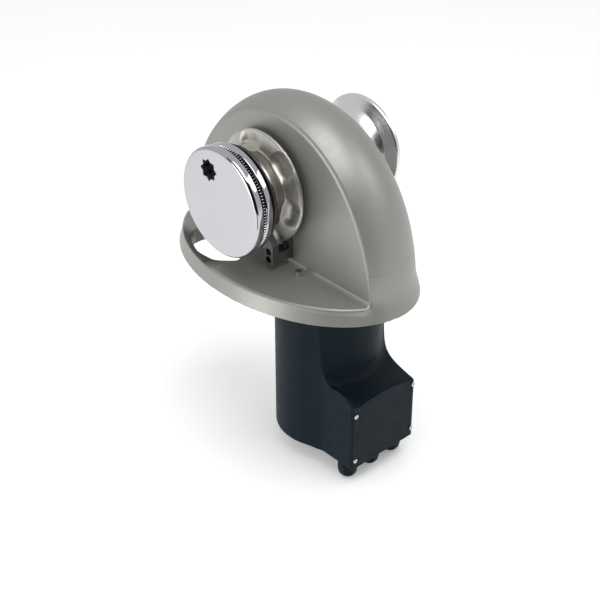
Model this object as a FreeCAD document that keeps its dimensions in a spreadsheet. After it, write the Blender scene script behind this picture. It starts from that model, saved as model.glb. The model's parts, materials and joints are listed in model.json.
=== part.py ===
import FreeCAD, Part
import Sketcher
import math
import os

# Horizontal anchor windlass.  Millimetres, +Z up.
# Origin: centre of the four deck fixing holes, on the plane of the deck.
# X runs along the horizontal shaft: the chain gypsy and its clutch are on the -X
# side, the rope drum on the +X side.  The motor hangs below the deck.

doc = FreeCAD.newDocument("anchor_windlass")
V = FreeCAD.Vector

# ---------------------------------------------------------------- dimensions
CELLS = [
    # main axes
    ("shaft_y", 10.0), ("shaft_z", 100.0), ("motor_x", 20.0), ("motor_y", -28.0),
    # domed housing on its elliptical base
    ("dome_sx", 95.0), ("dome_sy", 151.0), ("dome_sz", 185.5), ("dome_cz", 6.4),
    ("wall_x", -31.3), ("drum_wall_x", 58.0), ("base_sx", 109.0), ("base_sy", 158.0),
    ("rim_sx", 104.2), ("rim_sy", 153.2), ("top_sx", 102.4), ("top_sy", 151.4),
    ("drum_base_sx", 98.0), ("drum_rim_sx", 96.4), ("drum_top_sx", 95.4),
    ("floor_z", 18.0), ("rim_z", 16.2), ("casting_wall", 7.0),
    ("chamber_r", 35.0), ("cover_r", 46.0), ("bearing_r", 26.0), ("seal_r", 20.0),
    ("bore_r", 17.5), ("top_bore_r", 16.0), ("foot_bore_r", 24.0), ("relief_r", 61.0),
    ("deck_hole_r", 3.4), ("deck_hole_x", 52.0), ("deck_hole_y", 112.0), ("deck_hole_depth", 14.0),
    # shaft
    ("journal_r", 12.5), ("seat_r", 12.0), ("wheel_seat_r", 15.0), ("collar_r", 19.0), ("thread_r", 10.0),
    # chain gypsy and clutch
    ("gypsy_r", 62.0), ("gypsy_bore_r", 19.0), ("groove_r", 33.0), ("link_floor_r", 42.0), ("link_half_w", 14.2),
    ("link_half_l", 6.3), ("chain_x", -55.5), ("cone_gap", 0.3),
    ("ring_r", 58.5), ("cap_r", 59.8), ("cap_face_r", 56.5), ("cap_face_x", -99.8), ("knurl_r", 57.0),
    ("star_side", 17.5), ("star_y", 14.7), ("star_z", 32.7), ("star_depth", 12.0),
    # rope drum
    ("drum_r", 57.5), ("waist_r", 40.0), ("drum_in_x", 62.0), ("drum_out_x", 107.0),
    # worm gear, module 2, one start, 28 teeth
    ("gear_module", 2.0), ("gear_teeth", 28.0), ("worm_pitch_r", 10.0), ("wheel_w", 20.0),
    # motor
    ("casing_r", 60.2), ("casing_wall", 3.0), ("casing_bottom", -212.0), ("can_r", 46.0), ("can_in_r", 42.5),
    ("flange_r", 56.0), ("core_r", 36.0), ("box_half_w", 49.0), ("box_face_y", -91.5), ("box_top_z", -133.0),
    ("screw_dx", 44.6), ("screw_hi_z", -138.5), ("screw_lo_z", -200.0),
    ("gland_y", -70.0), ("gland_dx", 34.5), ("gland_bore_r", 5.0), ("gland_r", 10.4), ("gland_bottom", -236.0),
]
sheet = doc.addObject("Spreadsheet::Sheet", "dims")
sheet.Label = "dims"
for row, (word, number) in enumerate(CELLS, start=1):
    sheet.set("A%d" % row, word)
    sheet.set("B%d" % row, str(number))
    sheet.setAlias("B%d" % row, word)
doc.recompute()


class Dim:
    """A length with its number and the sheet expression it comes from."""

    def __init__(self, value, text):
        self.value = float(value)
        self.text = text

    def mix(self, other, sign):
        other = dim(other)
        value = {"+": self.value + other.value, "-": self.value - other.value,
                 "*": self.value * other.value, "/": self.value / other.value if sign == "/" else 0.0}[sign]
        return Dim(value, "(%s %s %s)" % (self.text, sign, other.text))

    def __add__(self, other):
        return self.mix(other, "+")

    def __radd__(self, other):
        return dim(other).mix(self, "+")

    def __sub__(self, other):
        return self.mix(other, "-")

    def __rsub__(self, other):
        return dim(other).mix(self, "-")

    def __mul__(self, other):
        return self.mix(other, "*")

    def __rmul__(self, other):
        return dim(other).mix(self, "*")

    def __neg__(self):
        return dim(0).mix(self, "-")


def dim(number):
    if isinstance(number, Dim):
        return number
    return Dim(number, "(%r)" % float(number) if number < 0 else "%r" % float(number))


class Cells:
    pass


S = Cells()
for word, number in CELLS:
    setattr(S, word, Dim(number, "dims." + word))


def bind(obj, prop, length):
    length = dim(length)
    setattr(obj, prop, length.value)
    if "dims." in length.text:
        obj.setExpression(prop, length.text)


def place(obj, x=0, y=0, z=0, axis=(0, 0, 1), turn=0.0):
    x, y, z = dim(x), dim(y), dim(z)
    obj.Placement = FreeCAD.Placement(V(x.value, y.value, z.value), FreeCAD.Rotation(V(*axis), turn))
    for letter, length in (("x", x), ("y", y), ("z", z)):
        if "dims." in length.text:
            obj.setExpression("Placement.Base." + letter, length.text)


# ------------------------------------------------------------ body helpers
def body(label):
    made = doc.addObject("PartDesign::Body", label)
    made.Label = label
    made.AllowCompound = True
    return made


def origin(made, role):
    for feature in made.Origin.OriginFeatures:
        if feature.Role == role:
            return feature
    raise RuntimeError("no " + role)


def sketch(made, plane, offset=0):
    drawn = made.newObject("Sketcher::SketchObject", made.Label + "_sketch")
    drawn.AttachmentSupport = (origin(made, plane), [""])
    drawn.MapMode = "FlatFace"
    offset = dim(offset)
    if offset.value:
        drawn.AttachmentOffset = FreeCAD.Placement(V(0, 0, offset.value), FreeCAD.Rotation())
        if "dims." in offset.text:
            drawn.setExpression("AttachmentOffset.Base.z", offset.text)
    return drawn


def pin_point(drawn, geo, pos, u, v):
    """Fix a point of the sketch at (u, v) from the sketch's origin."""
    u, v = dim(u), dim(v)
    for kind, length, axis in (("DistanceX", u, -2), ("DistanceY", v, -1)):
        if length.value == 0 and "dims." not in length.text:
            drawn.addConstraint(Sketcher.Constraint("PointOnObject", geo, pos, axis))
        else:
            index = drawn.addConstraint(Sketcher.Constraint(kind, -1, 1, geo, pos, length.value))
            if "dims." in length.text:
                drawn.setExpression("Constraints[%d]" % index, length.text)


def poly(made, plane, points, offset=0):
    """A closed outline of straight lines, each corner fixed from the origin."""
    drawn = sketch(made, plane, offset)
    points = [(dim(a), dim(b)) for a, b in points]
    count = len(points)
    lines = []
    for i in range(count):
        a, b = points[i], points[(i + 1) % count]
        lines.append(Part.LineSegment(V(a[0].value, a[1].value, 0), V(b[0].value, b[1].value, 0)))
    drawn.addGeometry(lines, False)
    drawn.addConstraint([Sketcher.Constraint("Coincident", i, 2, (i + 1) % count, 1) for i in range(count)])
    for i, (a, b) in enumerate(points):
        pin_point(drawn, i, 1, a, b)
    return drawn


def rings(made, plane, circles, offset=0):
    """Circles given as (u, v, radius)."""
    drawn = sketch(made, plane, offset)
    for u, v, radius in circles:
        u, v, radius = dim(u), dim(v), dim(radius)
        geo = drawn.addGeometry(Part.Circle(V(u.value, v.value, 0), V(0, 0, 1), radius.value), False)
        if u.value == 0 and v.value == 0:
            drawn.addConstraint(Sketcher.Constraint("Coincident", geo, 3, -1, 1))
        else:
            pin_point(drawn, geo, 3, u, v)
        index = drawn.addConstraint(Sketcher.Constraint("Radius", geo, radius.value))
        if "dims." in radius.text:
            drawn.setExpression("Constraints[%d]" % index, radius.text)
    return drawn


def pad(made, drawn, length, back=False, both=False):
    feature = made.newObject("PartDesign::Pad", made.Label + "_pad")
    feature.Profile = drawn
    bind(feature, "Length", length)
    feature.Reversed = back
    feature.Midplane = both
    return feature


def cut(made, drawn, length, back=False, both=False):
    """A pocket; it must take material away."""
    doc.recompute()
    before = made.Shape.Volume
    feature = made.newObject("PartDesign::Pocket", made.Label + "_pocket")
    feature.Profile = drawn
    bind(feature, "Length", length)
    feature.Reversed = back
    feature.Midplane = both
    doc.recompute()
    if made.Shape.Volume > before - 1.0:
        raise RuntimeError("pocket on %s cut nothing" % made.Label)
    return feature


def turn(made, drawn, axis="H_Axis", groove=False):
    feature = made.newObject("PartDesign::Groove" if groove else "PartDesign::Revolution", made.Label + "_turned")
    feature.Profile = drawn
    feature.ReferenceAxis = (drawn, [axis])
    feature.Angle = 360.0
    return feature


def around(made, features, role, count):
    feature = made.newObject("PartDesign::PolarPattern", made.Label + "_pattern")
    feature.Originals = features
    feature.Axis = (origin(made, role), [""])
    feature.Angle = 360.0
    feature.Occurrences = count
    made.Tip = feature
    return feature


def shaft_part(label, points, y=S.shaft_y, z=S.shaft_z):
    """Turned about the horizontal shaft; points are (x, radius)."""
    made = body(label)
    turn(made, poly(made, "XY_Plane", points), "H_Axis")
    place(made, 0, y, z)
    return made


def motor_part(label, points):
    """Turned about the vertical motor axis; points are (radius, z)."""
    made = body(label)
    turn(made, poly(made, "XZ_Plane", points), "V_Axis")
    place(made, S.motor_x, S.motor_y, 0)
    return made


def ball_ring(made, radius, at, circle, axis_role, count, along):
    ball = made.newObject("PartDesign::AdditiveSphere", made.Label + "_ball")
    bind(ball, "Radius", radius)
    if along == "x":
        ball.Placement = FreeCAD.Placement(V(dim(at).value, 0, dim(circle).value), FreeCAD.Rotation())
    else:
        ball.Placement = FreeCAD.Placement(V(dim(circle).value, 0, dim(at).value), FreeCAD.Rotation())
    return around(made, [ball], axis_role, count)


# --------------------------------------------------------- part-level helpers
def solid(kind, name, **sizes):
    made = doc.addObject("Part::" + kind, name)
    for prop, length in sizes.items():
        bind(made, prop, length)
    return made


def box(name, x0, x1, y0, y1, z0, z1):
    made = solid("Box", name, Length=dim(x1) - x0, Width=dim(y1) - y0, Height=dim(z1) - z0)
    place(made, x0, y0, z0)
    return made


def rod(name, radius, length, x, y, z, axis="z"):
    made = solid("Cylinder", name, Radius=radius, Height=length)
    if axis == "x":
        place(made, x, y, z, (0, 1, 0), 90)
    elif axis == "y":
        place(made, x, y, z, (1, 0, 0), -90)
    else:
        place(made, x, y, z)
    return made


def group(kind, name, shapes):
    made = doc.addObject("Part::" + kind, name)
    made.Shapes = shapes
    return made


def less(name, base, tool):
    made = doc.addObject("Part::Cut", name)
    made.Base = base
    made.Tool = tool
    made.Label = name
    return made


PARTS = []


def keep(*made):
    for one in made:
        PARTS.append(one)


# ================================================== housing and base plate
# Housing: half an ellipsoid cut by the flat gypsy wall and the drum wall. It
# stands on an elliptical base plate whose side is drafted and whose rim is broken.
dome = solid("Ellipsoid", "dome_form", Radius1=S.dome_sz, Radius2=S.dome_sx, Radius3=S.dome_sy)
place(dome, 0, 0, S.dome_cz)
slab = box("dome_slab", S.wall_x, S.drum_wall_x, -170, 170, S.floor_z, 200)
dome_cut = group("MultiCommon", "dome_cut", [dome, slab])


def ellipse(name, semi_x, semi_y, z):
    made = doc.addObject("Part::Ellipse", name)
    bind(made, "MajorRadius", semi_y)
    bind(made, "MinorRadius", semi_x)
    place(made, 0, 0, z, (0, 0, 1), 90)
    return made


def half_loft(name, side, sections):
    """One half of an elliptical form, cut off at x = 0: side -1 towards the gypsy, +1 towards the drum."""
    form = doc.addObject("Part::Loft", name + "_form")
    form.Sections = [ellipse("%s_%d" % (name, i), sx, sy, z) for i, (sx, sy, z) in enumerate(sections)]
    form.Solid = True
    form.Ruled = True
    low = sections[0][2] - 1
    high = sections[-1][2] + 1
    slab = box(name + "_slab", -200 if side < 0 else 0, 0 if side < 0 else 200, -200, 200, low, high)
    return group("MultiCommon", name, [form, slab])


# The foot is wider towards the gypsy than towards the drum: two half ellipses.
base = group("MultiFuse", "base_form", [
    half_loft("base_gypsy_half", -1, [(S.base_sx, S.base_sy, 0), (S.rim_sx, S.rim_sy, S.rim_z), (S.top_sx, S.top_sy, S.floor_z)]),
    half_loft("base_drum_half", 1, [(S.drum_base_sx, S.base_sy, 0), (S.drum_rim_sx, S.rim_sy, S.rim_z), (S.drum_top_sx, S.top_sy, S.floor_z)])])
base.Refine = True

# Hollow ends, closed below by the base plate: the shell either side of the gear block.
inner = solid("Ellipsoid", "inner_form", Radius1=S.dome_sz - S.casting_wall, Radius2=S.dome_sx - S.casting_wall,
              Radius3=S.dome_sy - S.casting_wall)
place(inner, 0, 0, S.dome_cz)
inner_slab = box("inner_slab", S.wall_x + S.casting_wall, S.drum_wall_x - S.casting_wall, -170, 170, -20, 200)
inner_cut = group("MultiCommon", "inner_cut", [inner, inner_slab])
block = box("gear_block", -60, 90, -92, 47, -30, 210)
hollows = less("hollow_ends", inner_cut, block)

# Chain hole: an irregular opening in the floor under the gypsy, behind the shaft.
HOLE = [(-89.3, 64.1), (-89.9, 56.5), (-89.8, 49.6), (-88.8, 37.6), (-84.3, 30.6), (-78.0, 24.4), (-71.3, 18.6),
        (-66.5, 19.5), (-61.0, 26.0), (-54.0, 36.0), (-45.0, 42.0), (-37.0, 46.0), (-37.0, 86.0), (-42.0, 96.0),
        (-53.0, 101.0), (-64.0, 100.5), (-74.5, 94.5), (-83.0, 80.0)]
hole_body = body("chain_hole_form")
pad(hole_body, poly(hole_body, "XY_Plane", HOLE, -5), S.floor_z + 15)

# Underside groove for the base seal, an elliptical ring.
seal_groove = group("MultiFuse", "seal_groove_outer", [half_loft("groove_out_a", -1, [(104.5, 153.5, -1), (104.5, 153.5, 2.2)]),
                                                       half_loft("groove_out_b", 1, [(93.5, 153.5, -1), (93.5, 153.5, 2.2)])])
seal_island = group("MultiFuse", "seal_groove_inner", [half_loft("groove_in_a", -1, [(101.0, 150.0, -2), (101.0, 150.0, 3)]),
                                                       half_loft("groove_in_b", 1, [(90.0, 150.0, -2), (90.0, 150.0, 3)])])
groove = less("seal_groove", seal_groove, seal_island)

# Underside relief round the motor: it bounds the face that lies on the deck.
relief = less("motor_relief", rod("relief_outer", S.relief_r + 1.2, 2.8, S.motor_x, S.motor_y, -2),
              rod("relief_inner", S.relief_r, 4, S.motor_x, S.motor_y, -2.5))

foot_bore = rod("foot_bore", S.foot_bore_r, 50, S.motor_x, S.motor_y, -2)
BASE_SCREWS = [(-21.0, 36.0), (44.0, 36.0), (-21.0, -84.0), (52.0, -88.0)]
tools = [
    hollows, foot_bore,
    # gear chamber, drum side recess, bearing seat, seal seat and shaft hole
    rod("chamber", S.chamber_r, S.drum_wall_x + 6, -5, S.shaft_y, S.shaft_z, "x"),
    rod("cover_recess", S.cover_r, 20, S.drum_wall_x - 8, S.shaft_y, S.shaft_z, "x"),
    rod("gypsy_bearing_seat", S.bearing_r, 25, -24, S.shaft_y, S.shaft_z, "x"),
    rod("gypsy_seal_seat", S.seal_r, 12, S.wall_x - 4, S.shaft_y, S.shaft_z, "x"),
    # worm bore from below, stepped
    rod("worm_bore", S.bore_r, 82, S.motor_x, S.motor_y, 47),
    rod("top_bore", S.top_bore_r, 30, S.motor_x, S.motor_y, 111),
    # stripper screws, oil plug
    rod("stripper_tap_low", 2.0, 14, S.wall_x - 1, -19.0, 30.2, "x"),
    rod("stripper_tap_high", 2.0, 14, S.wall_x - 1, -19.0, 39.5, "x"),
    rod("oil_tap", 5.0, 22, S.drum_wall_x - 15, 40, 40, "x"),
]
for i in range(6):
    a = math.radians(30 + 60 * i)
    tools.append(rod("cover_tap", 2.5, 14, S.drum_wall_x - 21, S.shaft_y + 40.5 * math.cos(a), S.shaft_z + 40.5 * math.sin(a), "x"))
for x, y in BASE_SCREWS:
    tools.append(rod("base_tap", 3.0, 15, x, y, S.floor_z - 1))
keep(less("housing", dome_cut, group("MultiFuse", "housing_tools", tools)))

# Base plate: chain hole, motor bore, deck stud holes, motor flange taps, the
# counterbored holes for the housing's screws, and the hole of the floor's screw.
tools = [hole_body, foot_bore, relief, rod("floor_tap", 2.5, 16, -43.2, -48.8, 4)]
for sx in (1, -1):
    for sy in (1, -1):
        tools.append(rod("deck_hole", S.deck_hole_r, S.deck_hole_depth + 2, S.deck_hole_x * sx, S.deck_hole_y * sy, -2))
for i in range(4):
    a = math.radians(45 + 90 * i)
    tools.append(rod("flange_tap", 3.0, 16, S.motor_x + 51 * math.cos(a), S.motor_y + 51 * math.sin(a), -2))
for x, y in BASE_SCREWS:
    tools.append(rod("base_clearance", 3.2, 24, x, y, -2))
    tools.append(rod("base_counterbore", 5.2, 8.5, x, y, -2))
keep(less("base_plate", less("base_machined", base, group("MultiFuse", "base_tools", tools)), groove))
made = body("base_screws")
pad(made, rings(made, "XY_Plane", [(x, y, 4.9) for x, y in BASE_SCREWS], 0.6), 5.9)
pad(made, rings(made, "XY_Plane", [(x, y, 3.0) for x, y in BASE_SCREWS], 6.5), 23.0)
cut(made, rings(made, "XY_Plane", [(x, y, 2.4) for x, y in BASE_SCREWS], 0.6), 3.0, back=True)
keep(made)

# Base seal: rubber ring, flush with the underside.
ring_out = group("MultiFuse", "base_seal_outer", [half_loft("seal_out_a", -1, [(104.5, 153.5, 0), (104.5, 153.5, 2.2)]),
                                                  half_loft("seal_out_b", 1, [(93.5, 153.5, 0), (93.5, 153.5, 2.2)])])
ring_in = group("MultiFuse", "base_seal_inner", [half_loft("seal_in_a", -1, [(101.0, 150.0, -2), (101.0, 150.0, 3)]),
                                                 half_loft("seal_in_b", 1, [(90.0, 150.0, -2), (90.0, 150.0, 3)])])
ring_out.Refine = True
keep(less("base_seal", ring_out, ring_in))

# Drum side bearing carrier closing the gear chamber, its gasket and six screws.
made = shaft_part("bearing_carrier", [(38, 34.8), (50.5, 34.8), (50.5, 45.8), (58, 45.8), (58, 20), (53, 20),
                                      (53, 26), (38, 26)])
holes = rings(made, "YZ_Plane", [(40.5 * math.cos(math.radians(30 + 60 * i)), 40.5 * math.sin(math.radians(30 + 60 * i)), 2.7)
                                 for i in range(6)], 49)
cut(made, holes, 12, back=True)
heads = rings(made, "YZ_Plane", [(40.5 * math.cos(math.radians(30 + 60 * i)), 40.5 * math.sin(math.radians(30 + 60 * i)), 4.4)
                                 for i in range(6)], 54)
cut(made, heads, 6, back=True)
keep(made)
made = shaft_part("carrier_gasket", [(50, 35.0), (50.5, 35.0), (50.5, 45.8), (50, 45.8)])
cut(made, rings(made, "YZ_Plane", [(40.5 * math.cos(math.radians(30 + 60 * i)), 40.5 * math.sin(math.radians(30 + 60 * i)), 2.7)
                                   for i in range(6)], 49), 4, back=True)
keep(made)


def screws(label, plane, base, shank_r, shank, head_r, head, socket_r, count, circle, phase, place_at, axis_role):
    """A ring of cap screws: shank below the base offset, head above it."""
    made = body(label)
    a = math.radians(phase)
    u, v = circle * math.cos(a), circle * math.sin(a)
    one = pad(made, rings(made, plane, [(u, v, head_r)], base), head)
    two = pad(made, rings(made, plane, [(u, v, shank_r)], base), shank, back=True)
    doc.recompute()
    three = cut(made, rings(made, plane, [(u, v, socket_r)], dim(base) + head), head * 0.55)
    around(made, [one, two, three], axis_role, count)
    place(made, *place_at)
    return made


keep(screws("carrier_screws", "YZ_Plane", 54, 2.5, 14, 4.2, 3.8, 2.1, 6, 40.5, 30, (0, S.shaft_y, S.shaft_z), "X_Axis"))

# Socket screw standing on the floor, oil filler plug in the drum side wall.
made = body("floor_screw")
pad(made, rings(made, "XY_Plane", [(0, 0, 4.3)], S.floor_z), 5.2)
pad(made, rings(made, "XY_Plane", [(0, 0, 2.5)], S.floor_z), 13, back=True)
hexagon = [(2.3 * math.cos(math.radians(60 * i + 15)), 2.3 * math.sin(math.radians(60 * i + 15))) for i in range(6)]
cut(made, poly(made, "XY_Plane", hexagon, S.floor_z + 5.2), 2.8)
place(made, -43.2, -48.8, 0)
keep(made)
made = body("oil_plug")
pad(made, rings(made, "YZ_Plane", [(0, 0, 5.0)], 44), 14)
pad(made, rings(made, "YZ_Plane", [(0, 0, 7.5)], 58), 1.6)
cut(made, poly(made, "YZ_Plane", [(3.4 * math.cos(math.radians(60 * i)), 3.4 * math.sin(math.radians(60 * i))) for i in range(6)],
               59.6), 4)
place(made, 0, 40, 40)
keep(made)

# ============================================================ chain stripper
# A finger in the gypsy's central groove, carried by an arm screwed to the wall.
outline = []
for i in range(9):
    a = math.radians(-30 - 11.25 * i)
    outline.append((48.5 * math.cos(a), 48.5 * math.sin(a)))
inner_arc = []
for i in range(9):
    a = math.radians(-120 + 11.25 * i)
    inner_arc.append(((37.5 + 0.6 * i) * math.cos(a), (37.5 + 0.6 * i) * math.sin(a)))
foot = [(-23.0, -56.0), (-23.0, -75.0), (-36.0, -75.0), (-36.0, -52.0)]
made = body("chain_stripper")
pad(made, poly(made, "YZ_Plane", outline + foot + inner_arc, -59.5), 8.0)
pad(made, poly(made, "YZ_Plane", [(-36, -74), (-22, -74), (-22, -62.5), (-36, -62.5)], -52), 20.7)
pad(made, poly(made, "YZ_Plane", [(-36, -75), (-22, -75), (-22, -51), (-36, -51)], S.wall_x - 4), 4.0)
place(made, 0, S.shaft_y, S.shaft_z)
doc.recompute()
cut(made, rings(made, "YZ_Plane", [(-29, -60.5, 2.2), (-29, -69.8, 2.2)], -60), 40, back=True)
cut(made, rings(made, "YZ_Plane", [(-29, -60.5, 4.0), (-29, -69.8, 4.0)], -60), 60 - 35.5, back=True)
keep(made)
made = body("stripper_screws")
pad(made, rings(made, "YZ_Plane", [(0, -60.5, 2.0), (0, -69.8, 2.0)], -35.5), 14)
pad(made, rings(made, "YZ_Plane", [(0, -60.5, 3.6), (0, -69.8, 3.6)], -35.5), 4, back=True)
doc.recompute()
cut(made, rings(made, "YZ_Plane", [(0, -60.5, 1.8), (0, -69.8, 1.8)], -39.5), 2.4, back=True)
place(made, 0, S.shaft_y - 29, S.shaft_z)
keep(made)

# ================================================================ main shaft
made = shaft_part("main_shaft", [
    (-95, 0), (-95, S.thread_r - 1), (-94, S.thread_r), (-76.5, S.thread_r), (-76.5, S.seat_r), (-36, S.seat_r),
    (-36, S.journal_r), (-9, S.journal_r), (-9, S.wheel_seat_r), (4, S.wheel_seat_r), (4, S.collar_r), (10, S.collar_r),
    (10, S.wheel_seat_r), (30.1, S.wheel_seat_r), (30.1, 14), (31.6, 14), (31.6, S.wheel_seat_r), (38, S.wheel_seat_r),
    (38, S.journal_r), (60, S.journal_r), (60, S.seat_r), (98, S.seat_r), (98, 5.0), (72, 5.0), (72, 0)])
# keyways: worm wheel, clutch cones, drum
cut(made, poly(made, "XY_Plane", [(12, -4), (28, -4), (28, 4), (12, 4)], 11), 20, back=True)
cut(made, poly(made, "XY_Plane", [(-74, -3), (-38, -3), (-38, 3), (-74, 3)], 8.5), 20, back=True)
cut(made, poly(made, "XY_Plane", [(66, -3), (94, -3), (94, 3), (66, 3)], 8.5), 20, back=True)
keep(made)


# keys of the worm wheel, the clutch cones and the drum
made = body("shaft_keys")
for x0, x1, half, low, high in ((12, 28, 4, 11, 18), (-74, -38, 3, 8.5, 14.5), (66, 94, 3, 8.5, 14.5)):
    pad(made, poly(made, "XY_Plane", [(x0, -half), (x1, -half), (x1, half), (x0, half)], low), high - low)
place(made, 0, S.shaft_y, S.shaft_z)
keep(made)
keep(shaft_part("wheel_circlip", [(30.1, 14), (31.6, 14), (31.6, 18.2), (30.1, 18.2)]))

# shaft bearings: outer races in the housing, inner races and balls on the shaft
for label, low, high in (("shaft_outer_races", 22.5, 26.0), ("shaft_inner_races", 12.5, 16.0)):
    made = body(label)
    turn(made, poly(made, "XY_Plane", [(-24, low), (-9, low), (-9, high), (-24, high)]))
    turn(made, poly(made, "XY_Plane", [(38, low), (53, low), (53, high), (38, high)]))
    place(made, 0, S.shaft_y, S.shaft_z)
    keep(made)
made = body("shaft_balls")
first = ball_ring(made, 3.2, -16.5, 19.25, "X_Axis", 9, "x")
second_ball = made.newObject("PartDesign::AdditiveSphere", "shaft_ball_b")
second_ball.Radius = 3.2
second_ball.Placement = FreeCAD.Placement(V(45.5, 0, 19.25), FreeCAD.Rotation())
around(made, [second_ball], "X_Axis", 9)
place(made, 0, S.shaft_y, S.shaft_z)
keep(made)
made = body("shaft_seals")
turn(made, poly(made, "XY_Plane", [(S.wall_x, 12.55), (-24.3, 12.55), (-24.3, 20), (S.wall_x, 20)]))
turn(made, poly(made, "XY_Plane", [(53, 12.55), (58, 12.55), (58, 20), (53, 20)]))
place(made, 0, S.shaft_y, S.shaft_z)
keep(made)

# ======================================================== chain gypsy, clutch
made = body("gypsy")
turn(made, poly(made, "XY_Plane", [
    (-39, 36), (-39, S.gypsy_r - 1), (-40, S.gypsy_r), (-42, S.gypsy_r), (-43.5, S.gypsy_r - 1.5), (-48.5, 46), (-50.3, 44.5),
    (-50.3, S.groove_r), (-60.7, S.groove_r), (-60.7, 44.5), (-62.5, 46), (-67.5, 54), (-69, 55), (-71, 55), (-72, 54), (-72, 36),
    (-65, 31), (-65, S.gypsy_bore_r), (-46, S.gypsy_bore_r), (-46, 31)]))
doc.recompute()
w, l = S.link_half_w, S.link_half_l
flat = cut(made, poly(made, "XY_Plane", [(S.chain_x - w, -l), (S.chain_x + w, -l), (S.chain_x + w, l), (S.chain_x - w, l)],
                      S.link_floor_r), 40, back=True)
ends = cut(made, rings(made, "XY_Plane", [(S.chain_x, l, w)], S.link_floor_r), 40, back=True)
ends2 = cut(made, rings(made, "XY_Plane", [(S.chain_x, -l, w)], S.link_floor_r), 40, back=True)
around(made, [flat, ends, ends2], "X_Axis", 6)
place(made, 0, S.shaft_y, S.shaft_z, (1, 0, 0), -15)
keep(made)

keyslot_inner = [(-62, -3), (-34, -3), (-34, 3), (-62, 3)]
made = shaft_part("inner_cone", [(-36, 12), (-36, 35.9), (-38.7, 35.9), (-45.6, 30.9), (-45.6, 18.94), (-60, 18.94), (-60, 12)])
cut(made, poly(made, "XY_Plane", keyslot_inner, 9), 5.5, back=True)
keep(made)
made = shaft_part("outer_cone", [
    (-61, 12.06), (-61, 18.5), (-65.4, 18.5), (-65.4, 30.9), (-72.3, 35.9), (-77.0, 36.0), (-77.0, S.ring_r - 1),
    (-78.0, S.ring_r), (-83.9, S.ring_r), (-85.2, S.ring_r - 1.5), (-85.2, 51), (-82, 46), (-82, 21), (-79.5, 20), (-79.5, 12.06)])
cut(made, poly(made, "XY_Plane", [(-82, -3.06), (-56, -3.06), (-56, 3.06), (-82, 3.06)], 9), 5.56, back=True)
keep(made)
made = shaft_part("clutch_cap", [
    (S.cap_face_x, 0), (S.cap_face_x, S.cap_face_r), (-98.9, 58.4), (-97.6, 59.5), (-96.2, S.cap_r), (-91.0, S.cap_r),
    (-90, 59.0), (-90, S.knurl_r), (-86.2, S.knurl_r), (-86.2, 53), (-92.5, 49.5), (-92.5, 21), (-79.8, 18), (-79.8, S.thread_r + 0.06),
    (-95.6, S.thread_r + 0.06), (-95.6, 0)])
# eight-pointed handle socket, two squares turned by 45 degrees, through the web
h = S.star_side * 0.5
square = [(S.star_y - h, S.star_z - h), (S.star_y + h, S.star_z - h), (S.star_y + h, S.star_z + h), (S.star_y - h, S.star_z + h)]
cut(made, poly(made, "YZ_Plane", square, S.cap_face_x - 1), S.star_depth, back=True)
q = S.star_side * 0.70710678
diamond = [(S.star_y - q, S.star_z), (S.star_y, S.star_z - q), (S.star_y + q, S.star_z), (S.star_y, S.star_z + q)]
cut(made, poly(made, "YZ_Plane", diamond, S.cap_face_x - 1), S.star_depth, back=True)
keep(made)
# thrust washer between the cap's hub and the outer cone
keep(shaft_part("thrust_washer", [(-79.55, 12.3), (-79.75, 12.3), (-79.75, 17.5), (-79.55, 17.5)]))

# ================================================================= rope drum
made = shaft_part("drum", [
    (S.drum_in_x, S.seat_r), (S.drum_in_x, 49), (63, 50), (65.5, 50), (67, 48.6), (70, 43.6), (74, 41), (79, S.waist_r), (85, 40.4),
    (90, 42.4), (95, 46.0), (98, 50.4), (101, 56.0), (102, 57.0), (103, S.drum_r), (106, S.drum_r), (S.drum_out_x, 56.5),
    (S.drum_out_x, 50), (102, 46), (102, 26), (105.5, 22), (105.5, 16), (98, 16), (98, S.seat_r)])
cut(made, poly(made, "XY_Plane", [(60, -3), (100, -3), (100, 3), (60, 3)], 10), 4.5, back=True)
keep(made)
keep(shaft_part("drum_washer", [(98, 5.0), (98, 15.9), (100.5, 15.9), (100.5, 5.0)]))
made = shaft_part("drum_bolt", [(75, 0), (75, 5.0), (100.5, 5.0), (100.5, 9.0), (106.5, 9.0), (107, 8.5), (107, 0)])
cut(made, poly(made, "YZ_Plane", [(4.6 * math.cos(math.radians(60 * i)), 4.6 * math.sin(math.radians(60 * i))) for i in range(6)],
               107), 4.5)
keep(made)

# ============================================================ worm and wheel
module, teeth, pitch_r = S.gear_module.value, int(S.gear_teeth.value), S.worm_pitch_r.value
lead = math.pi * module
wheel_r = module * teeth / 2.0
slack = 0.95


def worm_wheel_shape():
    """Teeth follow the worm's lead; each is a straight-sided tooth, twisted across the face."""
    outer_r, root_r = wheel_r + 1.75, wheel_r - 2.45
    width = S.wheel_w.value - 2
    tan20 = math.tan(math.radians(20))
    wires = []
    for x in (11.0, 20.0, 29.0):
        twist = (x - S.motor_x.value) * (module / 2.0 / pitch_r) / wheel_r
        points = []
        for k in range(teeth):
            mid = 2 * math.pi * k / teeth + twist
            for r, side in ((root_r, -1), (outer_r, -1), (outer_r, 1), (root_r, 1)):
                # half thickness at radius r, thinner towards the tip
                half = (lead / 4.0 - slack / 4.0) + (wheel_r - r) * tan20
                a = mid + side * half / r
                points.append(V(x, r * math.cos(a), r * math.sin(a)))
        wires.append(Part.makePolygon(points + [points[0]]))
    blank = Part.makeLoft(wires, True, True)
    bore = Part.makeCylinder(S.wheel_seat_r.value, 60, V(-10, 0, 0), V(1, 0, 0))
    keyway = Part.makeBox(60, 8, 10, V(-10, -4, 8))
    hub = Part.makeCylinder(22.0, 20.0, V(10.0, 0, 0), V(1, 0, 0))
    return blank.fuse(hub).cut(bore.fuse(keyway)).removeSplitter()


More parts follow.
